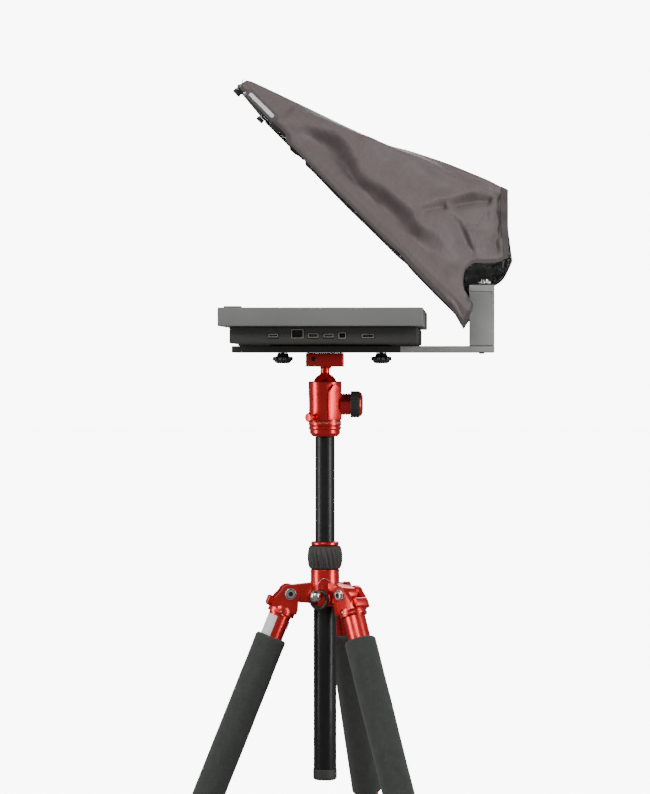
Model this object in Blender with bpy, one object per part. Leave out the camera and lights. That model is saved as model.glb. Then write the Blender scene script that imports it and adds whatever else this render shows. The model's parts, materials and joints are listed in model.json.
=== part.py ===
"""A teleprompter head on a travel tripod, built from its separate pieces.

Run it with: blender --background --python part.py
Units are metres and +Z is up. The talent sits on the -X side, the camera looks in from the +X side, and the
width of the monitor runs along Y. The pieces are stacked from the leg pivots upwards, and at the end the
whole stand is moved so that the middle of its bounding box stands over the origin, on the floor.
"""

import math

import bmesh
import bpy
from mathutils import Matrix, Vector

MM = 0.001
GAP = 0.3 * MM  # between touching pieces
RUNNING = 0.3 * MM  # radial clearance of a turning or sliding fit

# Legs. A leg hangs along its own -Z from its pivot, and leans outwards by LEG_SPLAY.
LEG_AZIMUTHS = (72.0, 192.0, 312.0)
LEG_SPLAY = math.radians(22.0)
LEG_LENGTH = 460 * MM  # pivot to floor, along the leg
HINGE_RADIUS = 46 * MM  # column axis to pivot
LUG_THICKNESS = 16 * MM
LUG_ROUND = 10 * MM
BOLT_RADIUS = 4 * MM
BOLT_HEAD_RADIUS = 6.4 * MM
BOLT_HEAD_HEIGHT = 3 * MM
CHEEK_THICKNESS = 6.5 * MM
CASTING_ROUND = 11.5 * MM
YOKE_DEPTH = 19 * MM  # pivot to the top of the tube socket
SOCKET_DEPTH = 6 * MM
SOCKET_FLOOR = 3 * MM
SOCKET_WALL = 2.4 * MM
UPPER_TUBE_RADIUS = 14 * MM
TUBE_WALL = 1.7 * MM
LOWER_TUBE_RADIUS = UPPER_TUBE_RADIUS - TUBE_WALL - GAP
LOCK_LENGTH = 42 * MM
LOCK_OVERLAP = 14 * MM  # how far the lock reaches up over the upper tube
LOCK_RADIUS = UPPER_TUBE_RADIUS + 4 * MM
LOCK_RIBS = 14
FOOT_LENGTH = 34 * MM
FOOT_RADIUS = 14.5 * MM
FOOT_SOCKET = 14 * MM
FOAM_TOP = 58 * MM  # pivot to the top of the foam
FOAM_LENGTH = 232 * MM
FOAM_RADIUS = UPPER_TUBE_RADIUS + 5.5 * MM
LOWER_TUBE_INSERT = 250 * MM  # of the lower tube inside the upper one, with the leg closed
TAB_WIDTH = 19 * MM
TAB_HEIGHT = 13 * MM
TAB_THICKNESS = 5 * MM

# Spider, column and its lock
HUB_RADIUS = 18 * MM
HUB_BELOW = 16 * MM  # below the pivots
HUB_ABOVE = 30 * MM  # above the pivots
SLEEVE_RADIUS = 14.3 * MM
SLEEVE_WALL = 1.8 * MM
SLEEVE_LENGTH = 238 * MM
SLEEVE_SEAT = 34 * MM  # of the sleeve inside the hub
CAP_HEIGHT = 14 * MM
COLUMN_RADIUS = SLEEVE_RADIUS - SLEEVE_WALL - RUNNING
COLUMN_WALL = 2 * MM
COLUMN_SHOWN = 131 * MM  # above the lock collar
COLUMN_INSERT = 60 * MM  # below the lock collar
COLLAR_HEIGHT = 28.5 * MM
COLLAR_RADIUS = 21.5 * MM
COLLAR_RIBS = 22
COLLAR_RING_HEIGHT = 5 * MM
COLLAR_RING_RADIUS = 17.5 * MM
STUD_AZIMUTH = math.radians(252.0)
STUD_REACH = 33 * MM
STUD_RADIUS = 2.4 * MM
STUD_BALL_RADIUS = 7.5 * MM
RING_RADIUS = 10.8 * MM
RING_THICKNESS = 4.6 * MM

# Ball head
PAN_RADIUS = 20.5 * MM
PAN_HEIGHT = 19.7 * MM
HOUSING_RADIUS = 21 * MM
HOUSING_HEIGHT = 49 * MM
BALL_RADIUS = 15.3 * MM
BALL_HEIGHT = 44 * MM  # the ball's centre above the housing's foot
STEM_RADIUS = 7 * MM
STEM_LENGTH = 23 * MM  # the ball's centre to the clamp
FACET_DISTANCE = 17.6 * MM
FACET_AZIMUTH = math.radians(-49.0)
LOCK_KNOB_HEIGHT = 20.3 * MM  # above the housing's foot
LOCK_KNOB_RADIUS = 14.5 * MM
LOCK_GRIP_RADIUS = 16.6 * MM
LOCK_GRIP_LENGTH = 11 * MM
KNOB_SHAFT_RADIUS = 4 * MM
PAN_KNOB_AZIMUTH = math.radians(229.0)
PAN_KNOB_HEIGHT = 4 * MM  # of the knob's axis
PAN_KNOB_RADIUS = 6 * MM
PAN_KNOB_REACH = 31 * MM

# Quick-release clamp and plate
CLAMP_LENGTH = 46 * MM
CLAMP_WIDTH = 42 * MM
CLAMP_HEIGHT = 17 * MM
DOVETAIL_DEPTH = 8 * MM
DOVETAIL_TOP = 15 * MM  # half its width at the top
DOVETAIL_SLANT = 3 * MM
JAW_THICKNESS = 6 * MM

# Base, upright and frame bracket
BASE_FRONT = -113 * MM
BASE_REAR = 211 * MM
BASE_HALF_WIDTH = 50 * MM
BASE_THICKNESS = 8.2 * MM
UPRIGHT_THICKNESS = 31 * MM
UPRIGHT_HEIGHT = 66.3 * MM
UPRIGHT_WALL = 3 * MM
CAP_THICKNESS = 8.2 * MM
BRACKET_THICKNESS = 2.2 * MM
BRACKET_HALF_WIDTH = 27 * MM
NUT_RADIUS = 7.5 * MM
NUT_HEIGHT = 6 * MM
NUT_INSET = 11.5 * MM  # of the nut from the rear face of the upright
NUT_SCREW_RADIUS = 2.5 * MM

# Monitor
MONITOR_CENTRE = 3.3 * MM  # along X
BEZEL_LENGTH = 243.8 * MM
BEZEL_WIDTH = 380 * MM
BEZEL_HEIGHT = 22.4 * MM
BEZEL_LIP = 2 * MM
BEZEL_BORDER = 18 * MM
SCREEN_LENGTH = 196 * MM
SCREEN_WIDTH = 346 * MM
PANEL_THICKNESS = 8 * MM
HOUSING_FRONT_INSET = 13 * MM  # of the rear housing inside the bezel, at the talent's side
HOUSING_REAR_INSET = 7 * MM
HOUSING_SIDE_INSET = 14 * MM
SHELL_HEIGHT = 20.2 * MM
SHELL_WALL = 2.4 * MM
VESA_SIZE = 76 * MM
VESA_THICKNESS = 1.3 * MM
KNOB_PLACES = (-52.8 * MM, 70.4 * MM)  # the two thumb knobs, along X
KNOB_TRAVEL = 7 * MM  # of the monitor along the slots, each way
KNOB_SCREW_RADIUS = 3 * MM
KNOB_RADIUS = 13.5 * MM
KNOB_HEIGHT = 13 * MM
KNOB_HUB_RADIUS = 6.5 * MM
KNOB_HUB_HEIGHT = 4.5 * MM
KNOB_LOBES = 8
SCREW_REACH = 5 * MM  # of the screws into the housing
BOARD_THICKNESS = 1.6 * MM
BOARD_LENGTH = 150 * MM
BOARD_WIDTH = 60 * MM
BUTTON_LENGTH = 22 * MM
BUTTON_WIDTH = 7 * MM
BUTTON_RISE = 1.8 * MM
BUTTON_TRAVEL = 0.8 * MM
BUTTON_SINK = 3 * MM
BUTTON_PLACE = (-101 * MM, -181 * MM)
# Each port: centre along X, centre above the housing's foot, length and height
PORTS = (
    (-53.0 * MM, 9.6 * MM, 12.0 * MM, 4.6 * MM),
    (-24.3 * MM, 11.6 * MM, 15.4 * MM, 11.4 * MM),
    (-5.6 * MM, 9.6 * MM, 13.0 * MM, 5.6 * MM),
    (12.9 * MM, 9.6 * MM, 12.4 * MM, 4.8 * MM),
    (29.0 * MM, 9.6 * MM, 9.6 * MM, 8.0 * MM),
    (59.5 * MM, 9.0 * MM, 15.0 * MM, 5.4 * MM),
)
PORT_WALL = 1.1 * MM

# Glass frame, in its own frame: the hinge axis is the origin, -X runs up the slope, and -Z faces the talent
GLASS_TILT = math.radians(45.0)
HINGE_FROM_UPRIGHT = 18.3 * MM  # the hinge axis in front of the upright
HINGE_ABOVE_CAP = -1 * MM  # the hinge axis above the cap's top
FRAME_LOWER = 15.2 * MM
FRAME_LENGTH = 360 * MM
FRAME_HALF_WIDTH = 195 * MM
FRAME_DEPTH = 18.9 * MM  # hinge axis to the front face
FRAME_THICKNESS = 7 * MM
FRAME_BAR = 16 * MM
GLASS_THICKNESS = 3 * MM
GLASS_SEAT = 6 * MM
RETAINER_THICKNESS = 1.2 * MM
EAR_THICKNESS = 6 * MM
EAR_ROUND = 6.5 * MM
HINGE_PIN_RADIUS = 3 * MM
TILT_KNOB_RADIUS = 11 * MM
TILT_KNOB_LENGTH = 12 * MM

# Hood, its rear opening measured from the hinge axis
HOOD_CLOTH = 2 * MM
HOOD_CLEARANCE = 0.8 * MM  # cloth to frame
REAR_OPENING_X = 65 * MM
REAR_OPENING_LOW = 33.4 * MM
REAR_OPENING_HIGH = 119.9 * MM
REAR_HALF_WIDTH = 80 * MM
HOOD_DROP = 29 * MM  # of the cloth below the frame's lower edge, along the frame
# The hood's lower hem from behind the frame to the rear opening, as X and Z from the hinge axis
HOOD_HEM = ((18.0, -20.0), (15.0, 6.0), (27.7, 21.0), (48.0, 25.5), (65.0, 33.4))

SEGMENTS = 24
SMALL_SEGMENTS = 16


# ---------------------------------------------------------------- helpers


def clear_scene():
    """Removes every object of the open scene."""
    for old in list(bpy.data.objects):
        bpy.data.objects.remove(old)


def material(name, colour, roughness, metallic=0.0):
    """A Principled BSDF material."""
    made = bpy.data.materials.new(name)
    made.use_nodes = True
    shader = made.node_tree.nodes["Principled BSDF"]
    shader.inputs["Base Color"].default_value = (*colour, 1.0)
    shader.inputs["Roughness"].default_value = roughness
    shader.inputs["Metallic"].default_value = metallic
    return made


def empty(name, location=(0, 0, 0), rotation=(0, 0, 0), parent=None):
    """An empty on a joint's axis."""
    made = bpy.data.objects.new(name, None)
    bpy.context.scene.collection.objects.link(made)
    made.location = location
    made.rotation_euler = rotation
    made.parent = parent
    return made


def piece(name, shape, finish, parent, location=(0, 0, 0), rotation=(0, 0, 0)):
    """Turns a bmesh into a named object under its parent."""
    bmesh.ops.recalc_face_normals(shape, faces=shape.faces)
    mesh = bpy.data.meshes.new(name)
    shape.to_mesh(mesh)
    shape.free()
    mesh.shade_smooth()
    mesh.set_sharp_from_angle(angle=math.radians(32))
    made = bpy.data.objects.new(name, mesh)
    bpy.context.scene.collection.objects.link(made)
    made.location = location
    made.rotation_euler = rotation
    made.parent = parent
    if finish:
        made.data.materials.append(finish)
    return made


def tool(target, shape, operation):
    """Cuts a bmesh from the target object, or joins it on, with a Boolean modifier."""
    helper = piece(
        f"{target.name}_{operation.lower()}_{len(target.modifiers)}",
        shape,
        None,
        target.parent,
        target.location,
        target.rotation_euler,
    )
    helper.hide_render = True
    helper.display_type = "WIRE"
    modifier = target.modifiers.new(operation.title(), "BOOLEAN")
    modifier.operation = operation
    modifier.solver = "EXACT"
    modifier.object = helper


def cut(target, shape):
    """Cuts a bmesh from the target."""
    tool(target, shape, "DIFFERENCE")


def fuse(target, shape):
    """Joins a bmesh onto the target."""
    tool(target, shape, "UNION")


def bevel(target, width, segments=1):
    """Rounds the target's sharp edges."""
    modifier = target.modifiers.new("Bevel", "BEVEL")
    modifier.width = width
    modifier.segments = segments
    modifier.limit_method = "ANGLE"
    modifier.angle_limit = math.radians(40)


def box(low, high, shape=None):
    """A box between two corners."""
    shape = shape or bmesh.new()
    low, high = Vector(low), Vector(high)
    place = Matrix.Translation((low + high) / 2) @ Matrix.Diagonal((*(high - low), 1.0))
    bmesh.ops.create_cube(shape, size=1.0, matrix=place)
    return shape


def prism(outline, low, high, normal="Y"):
    """An outline of flat points, pushed out along an axis from low to high."""
    shape = bmesh.new()
    spots = {"X": lambda a, b, c: (c, a, b), "Y": lambda a, b, c: (a, c, b), "Z": lambda a, b, c: (a, b, c)}
    spot = spots[normal]
    face = shape.faces.new([shape.verts.new(spot(a, b, low)) for a, b in outline])
    pushed = bmesh.ops.extrude_face_region(shape, geom=[face])
    move = Vector(spot(0, 0, high - low))
    bmesh.ops.translate(
        shape,
        vec=move,
        verts=[v for v in pushed["geom"] if isinstance(v, bmesh.types.BMVert)],
    )
    return shape


def turned(profile, segments=SEGMENTS):
    """A profile of (radius, height) points spun round Z. Off the axis it's a closed ring."""
    shape = bmesh.new()
    points = [shape.verts.new((radius, 0, height)) for radius, height in profile]
    for a, b in zip(points, points[1:]):
        shape.edges.new((a, b))
    if profile[0][0] > 0 and profile[-1][0] > 0:
        shape.edges.new((points[-1], points[0]))
    bmesh.ops.spin(
        shape,
        geom=shape.verts[:] + shape.edges[:],
        axis=(0, 0, 1),
        cent=(0, 0, 0),
        angle=math.tau,
        steps=segments,
        use_merge=True,
    )
    bmesh.ops.remove_doubles(shape, verts=shape.verts, dist=1e-6)
    return shape


def ring_profile(inner, outer, low, high, edge=0.0):
    """A tube's profile, with its outer edges broken by edge."""
    outside = ((outer, low), (outer, high))
    if edge:
        outside = ((outer - edge, low), (outer, low + edge), (outer, high - edge), (outer - edge, high))
    return ((inner, low), *outside, (inner, high))


def rod(radius, start, end, segments=SMALL_SEGMENTS, shape=None):
    """A plain cylinder between two points."""
    shape = shape or bmesh.new()
    start, end = Vector(start), Vector(end)
    along = end - start
    place = Matrix.Translation((start + end) / 2) @ along.to_track_quat("Z", "Y").to_matrix().to_4x4()
    bmesh.ops.create_cone(
        shape,
        cap_ends=True,
        segments=segments,
        radius1=radius,
        radius2=radius,
        depth=along.length,
        matrix=place,
    )
    return shape


def ribbed(radius, depth, ribs, low, high, per_rib=4):
    """A grip with rounded ribs round Z."""
    count = ribs * per_rib
    outline = []
    for i in range(count):
        angle = math.tau * i / count
        r = radius - depth * (0.5 - 0.5 * math.cos(ribs * angle))
        outline.append((r * math.cos(angle), r * math.sin(angle)))
    return prism(outline, low, high, "Z")


def arc(radius, start, end, steps, centre=(0.0, 0.0)):
    """Points along an arc, in degrees."""
    return [
        (
            centre[0] + radius * math.cos(math.radians(start + (end - start) * i / steps)),
            centre[1] + radius * math.sin(math.radians(start + (end - start) * i / steps)),
        )
        for i in range(steps + 1)
    ]


def turn_to(direction):
    """The rotation that points a turned shape's Z along a direction."""
    return Vector(direction).to_track_quat("Z", "Y").to_euler()


# ---------------------------------------------------------------- tripod


def build_spider(root, red, black, steel, rubber):
    """The hub with its three lugs, the sleeve below it, and the ring on its stud."""
    hub = piece(
        "spider",
        turned(
            (
                (SLEEVE_RADIUS + GAP, -HUB_BELOW),
                (HUB_RADIUS - 1.5 * MM, -HUB_BELOW),
                (HUB_RADIUS, -HUB_BELOW + 1.5 * MM),
                (HUB_RADIUS, HUB_ABOVE - 1 * MM),
                (HUB_RADIUS - 1 * MM, HUB_ABOVE),
                (COLUMN_RADIUS + RUNNING, HUB_ABOVE),
                (COLUMN_RADIUS + RUNNING, SLEEVE_SEAT - HUB_BELOW + GAP),
                (SLEEVE_RADIUS + GAP, SLEEVE_SEAT - HUB_BELOW + GAP),
            ),
            32,
        ),
        red,
        root,
    )
    for azimuth in LEG_AZIMUTHS:
        outline = arc(LUG_ROUND, -90, 90, 8, (HINGE_RADIUS, 0.0)) + [
            (HUB_RADIUS - 2 * MM, LUG_ROUND + 3 * MM),
            (HUB_RADIUS - 2 * MM, -LUG_ROUND - 3 * MM),
        ]
        lug = prism(outline, -LUG_THICKNESS / 2, LUG_THICKNESS / 2)
        bmesh.ops.rotate(lug, verts=lug.verts, matrix=Matrix.Rotation(math.radians(azimuth), 3, "Z"))
        fuse(hub, lug)
    centre = Vector((HINGE_RADIUS, 0, 0))
    for azimuth in LEG_AZIMUTHS:
        beside = Vector((0, LUG_THICKNESS, 0))
        hole = rod(BOLT_RADIUS + RUNNING, centre - beside, centre + beside)
        bmesh.ops.rotate(hole, verts=hole.verts, matrix=Matrix.Rotation(math.radians(azimuth), 3, "Z"))
        cut(hub, hole)
    along_stud = Vector((math.cos(STUD_AZIMUTH), math.sin(STUD_AZIMUTH), 0))
    stud_start = along_stud * (SLEEVE_RADIUS + SLEEVE_WALL)
    stud_start.z = -2 * MM
    cut(hub, rod(STUD_RADIUS + GAP, stud_start, stud_start + along_stud * 20 * MM))
    sleeve_top = SLEEVE_SEAT - HUB_BELOW
    sleeve_foot = sleeve_top - SLEEVE_LENGTH
    piece(
        "column_sleeve",
        turned(ring_profile(SLEEVE_RADIUS - SLEEVE_WALL, SLEEVE_RADIUS, sleeve_foot, sleeve_top)),
        black,
        root,
    )
    plug = SLEEVE_RADIUS - SLEEVE_WALL - GAP
    piece(
        "sleeve_end_cap",
        turned(
            (
                (0, sleeve_foot - CAP_HEIGHT),
                (SLEEVE_RADIUS - 3 * MM, sleeve_foot - CAP_HEIGHT),
                (SLEEVE_RADIUS + 0.7 * MM, sleeve_foot - CAP_HEIGHT + 3 * MM),
                (SLEEVE_RADIUS + 0.7 * MM, sleeve_foot - GAP),
                (plug, sleeve_foot - GAP),
                (plug, sleeve_foot + 10 * MM),
                (0, sleeve_foot + 10 * MM),
            )
        ),
        rubber,
        root,
    )
    reach = STUD_REACH - stud_start.xy.length
    ball_start = math.degrees(math.acos(STUD_RADIUS / STUD_BALL_RADIUS))
    piece(
        "ring_stud",
        turned(
            [(0, GAP), (STUD_RADIUS, GAP)]
            + arc(STUD_BALL_RADIUS, -ball_start, 75, 7, (0.0, reach))
            + [(0, reach + STUD_BALL_RADIUS)],
            SMALL_SEGMENTS,
        ),
        steel,
        root,
        stud_start,
        turn_to(along_stud),
    )
    # The ring hangs on the stud's stem, so its centre is below the stem by the clearance in its eye.
    drop = RING_RADIUS - RING_THICKNESS / 2 - STUD_RADIUS - GAP
    ring_middle = stud_start + along_stud * (reach - STUD_BALL_RADIUS - RING_THICKNESS)
    swing = empty("ring_swing", ring_middle, turn_to(along_stud), root)
    hoop = bmesh.new()
    circle = bmesh.ops.create_circle(
        hoop,
        segments=8,
        radius=RING_THICKNESS / 2,
        matrix=Matrix.Translation((RING_RADIUS, 0, 0)) @ Matrix.Rotation(math.pi / 2, 4, "X"),
    )
    bmesh.ops.spin(
        hoop,
        geom=circle["verts"] + hoop.edges[:],
        axis=(0, 0, 1),
        cent=(0, 0, 0),
        angle=math.tau,
        steps=SEGMENTS,
        use_merge=True,
    )
    ring = piece("accessory_ring", hoop, rubber, swing)
    down = swing.rotation_euler.to_matrix().inverted() @ Vector((0, 0, -1))
    ring.location = down * drop


def build_leg(root, number, azimuth, red, black, foam, rubber, steel):
    """One leg: casting, bolt, angle tab, upper tube, foam, twist lock, lower tube and foot."""
    turn = math.radians(azimuth)
    outward = Vector((math.cos(turn), math.sin(turn), 0))
    across = LUG_THICKNESS / 2 + RUNNING
    outside = across + CHEEK_THICKNESS
    label = f"leg_{number}"
    still = empty(f"{label}_bolt_axis", outward * HINGE_RADIUS, (0, 0, turn), root)
    bolt = turned(
        (
            (0, -outside - GAP - BOLT_HEAD_HEIGHT),
            (BOLT_HEAD_RADIUS - 1 * MM, -outside - GAP - BOLT_HEAD_HEIGHT),
            (BOLT_HEAD_RADIUS, -outside - GAP - BOLT_HEAD_HEIGHT + 1 * MM),
            (BOLT_HEAD_RADIUS, -outside - GAP),
            (BOLT_RADIUS, -outside - GAP),
            (BOLT_RADIUS, outside + GAP),
            (BOLT_HEAD_RADIUS, outside + GAP),
            (BOLT_HEAD_RADIUS, outside + GAP + BOLT_HEAD_HEIGHT - 1 * MM),
            (BOLT_HEAD_RADIUS - 1 * MM, outside + GAP + BOLT_HEAD_HEIGHT),
            (0, outside + GAP + BOLT_HEAD_HEIGHT),
        ),
        SMALL_SEGMENTS,
    )
    piece(f"{label}_hinge_bolt", bolt, steel, still, rotation=(math.pi / 2, 0, 0))
    pivot = empty(f"{label}_pivot", outward * HINGE_RADIUS, (0, -LEG_SPLAY, turn), root)
    socket_radius = UPPER_TUBE_RADIUS + GAP + SOCKET_WALL
    yoke = [
        (-socket_radius, -YOKE_DEPTH - 3 * MM),
        (socket_radius, -YOKE_DEPTH - 3 * MM),
        (socket_radius, -13 * MM),
        *arc(CASTING_ROUND, 0, 180, 10),
        (-socket_radius, -16 * MM),
    ]
    casting = piece(f"{label}_casting", prism(yoke, -outside, outside), red, pivot)
    fuse(
        casting,
        turned(
            (
                (0, -YOKE_DEPTH + 1.5 * MM),
                (socket_radius - 1 * MM, -YOKE_DEPTH + 1.5 * MM),
                (socket_radius + 0.4 * MM, -YOKE_DEPTH - 1 * MM),
                (socket_radius + 0.4 * MM, -YOKE_DEPTH - SOCKET_FLOOR - SOCKET_DEPTH),
                (UPPER_TUBE_RADIUS + GAP, -YOKE_DEPTH - SOCKET_FLOOR - SOCKET_DEPTH),
                (UPPER_TUBE_RADIUS + GAP, -YOKE_DEPTH - SOCKET_FLOOR),
                (0, -YOKE_DEPTH - SOCKET_FLOOR),
            )
        ),
    )
    cut(casting, box((-30 * MM, -across, -17 * MM), (30 * MM, across, 20 * MM)))
    cut(casting, rod(BOLT_RADIUS + RUNNING, (0, -outside - 1 * MM, 0), (0, outside + 1 * MM, 0)))
    tab_back = socket_radius + 0.4 * MM + GAP
    tab = piece(
        f"{label}_angle_tab",
        prism(
            (
                (tab_back, -YOKE_DEPTH - 4 * MM),
                (tab_back + TAB_THICKNESS * 0.6, -YOKE_DEPTH - 4 * MM),
                (tab_back + TAB_THICKNESS, -YOKE_DEPTH - 1 * MM),
                (tab_back + TAB_THICKNESS, -YOKE_DEPTH - 4 * MM + TAB_HEIGHT - 2 * MM),
                (tab_back + TAB_THICKNESS - 2 * MM, -YOKE_DEPTH - 4 * MM + TAB_HEIGHT),
                (tab_back, -YOKE_DEPTH - 4 * MM + TAB_HEIGHT),
            ),
            -TAB_WIDTH / 2,
            TAB_WIDTH / 2,
        ),
        red,
        pivot,
    )
    bevel(tab, 0.6 * MM)

    upper_top = -YOKE_DEPTH - SOCKET_FLOOR - GAP
    lock_foot = -LEG_LENGTH + FOOT_LENGTH + GAP
    lock_top = lock_foot + LOCK_LENGTH
    upper_foot = lock_top - LOCK_OVERLAP
    piece(
        f"{label}_upper_tube",
        turned(ring_profile(UPPER_TUBE_RADIUS - TUBE_WALL, UPPER_TUBE_RADIUS, upper_foot, upper_top), 20),
        red,
        pivot,
    )
    piece(
        f"{label}_foam_grip",
        turned(
            ring_profile(
                UPPER_TUBE_RADIUS + GAP, FOAM_RADIUS, -FOAM_TOP - FOAM_LENGTH, -FOAM_TOP, 2.5 * MM
            ),
            20,
        ),
        foam,
        pivot,
    )
    lock = piece(
        f"{label}_twist_lock",
        ribbed(LOCK_RADIUS, 0.8 * MM, LOCK_RIBS, lock_foot, lock_top, 3),
        rubber,
        pivot,
    )
    bore = turned(
        (
            (0, lock_foot - 1 * MM),
            (LOWER_TUBE_RADIUS + RUNNING, lock_foot - 1 * MM),
            (LOWER_TUBE_RADIUS + RUNNING, upper_foot - GAP),
            (UPPER_TUBE_RADIUS + RUNNING, upper_foot - GAP),
            (UPPER_TUBE_RADIUS + RUNNING, lock_top + 1 * MM),
            (0, lock_top + 1 * MM),
        ),
        20,
    )
    cut(lock, bore)
    foot_top = -LEG_LENGTH + FOOT_LENGTH
    lower_foot = foot_top - FOOT_SOCKET
    piece(
        f"{label}_lower_tube",
        turned(
            ring_profile(
                LOWER_TUBE_RADIUS - TUBE_WALL, LOWER_TUBE_RADIUS, lower_foot, lower_foot + LOWER_TUBE_INSERT
            ),
            20,
        ),
        black,
        pivot,
    )
    sole = -LEG_LENGTH - 8 * MM
    foot = turned(
        (
            (0, sole),
            (FOOT_RADIUS - 5 * MM, sole),
            (FOOT_RADIUS, sole + 6 * MM),
            (FOOT_RADIUS, foot_top - 3 * MM),
            (FOOT_RADIUS - 1.5 * MM, foot_top),
            (LOWER_TUBE_RADIUS + GAP, foot_top),
            (LOWER_TUBE_RADIUS + GAP, lower_foot - GAP),
            (0, lower_foot - GAP),
        ),
        20,
    )
    floor_down = Vector((-math.sin(LEG_SPLAY), 0, -math.cos(LEG_SPLAY)))
    sliced = bmesh.ops.bisect_plane(
        foot,
        geom=foot.verts[:] + foot.edges[:] + foot.faces[:],
        plane_co=(0, 0, -LEG_LENGTH),
        plane_no=floor_down,
        clear_outer=True,
    )
    rim = [e for e in sliced["geom_cut"] if isinstance(e, bmesh.types.BMEdge)]
    bmesh.ops.edgeloop_fill(foot, edges=rim)
    piece(f"{label}_foot", foot, rubber, pivot)


def build_column(root, red, black, rubber):
    """The sliding centre column and its twist lock. Returns the height of the column's top."""
    collar_foot = HUB_ABOVE + GAP
    collar_top = collar_foot + COLLAR_HEIGHT
    grip = piece(
        "collar_grip",
        ribbed(COLLAR_RADIUS, 0.9 * MM, COLLAR_RIBS, collar_foot, collar_top),
        rubber,
        root,
    )
    bore_foot = (0, 0, collar_foot - 1 * MM)
    cut(grip, rod(COLUMN_RADIUS + RUNNING, bore_foot, (0, 0, collar_top + 1 * MM), SEGMENTS))
    ring_foot = collar_top + GAP
    piece(
        "collar_ring",
        turned(
            ring_profile(
                COLUMN_RADIUS + RUNNING,
                COLLAR_RING_RADIUS,
                ring_foot,
                ring_foot + COLLAR_RING_HEIGHT,
                1.2 * MM,
            )
        ),
        red,
        root,
    )
    column_top = ring_foot + COLLAR_RING_HEIGHT + COLUMN_SHOWN
    piece(
        "centre_column",
        turned(
            ring_profile(
                COLUMN_RADIUS - COLUMN_WALL, COLUMN_RADIUS, collar_foot - COLUMN_INSERT, column_top
            )
        ),
        black,
        root,
    )
    return column_top


def build_pan_base(root, foot, red):
    """The panning base, plugged into the column. Returns the height of its top."""
    plug = COLUMN_RADIUS - COLUMN_WALL - GAP
    low = foot + GAP
    top = low + PAN_HEIGHT
    piece(
        "pan_base",
        turned(
            (
                (0, foot - 14 * MM),
                (plug, foot - 14 * MM),
                (plug, low),
                (PAN_RADIUS - 5 * MM, low),
                (PAN_RADIUS - 1.4 * MM, low + 4 * MM),
                (PAN_RADIUS - 1.4 * MM, low + 8.5 * MM),
                (PAN_RADIUS, low + 9.5 * MM),
                (PAN_RADIUS, low + 12 * MM),
                (PAN_RADIUS - 0.8 * MM, low + 12.6 * MM),
                (PAN_RADIUS - 0.8 * MM, low + 13.6 * MM),
                (PAN_RADIUS, low + 14.2 * MM),
                (PAN_RADIUS, top),
                (0, top),
            ),
            32,
        ),
        red,
        root,
    )
    return top


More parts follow.
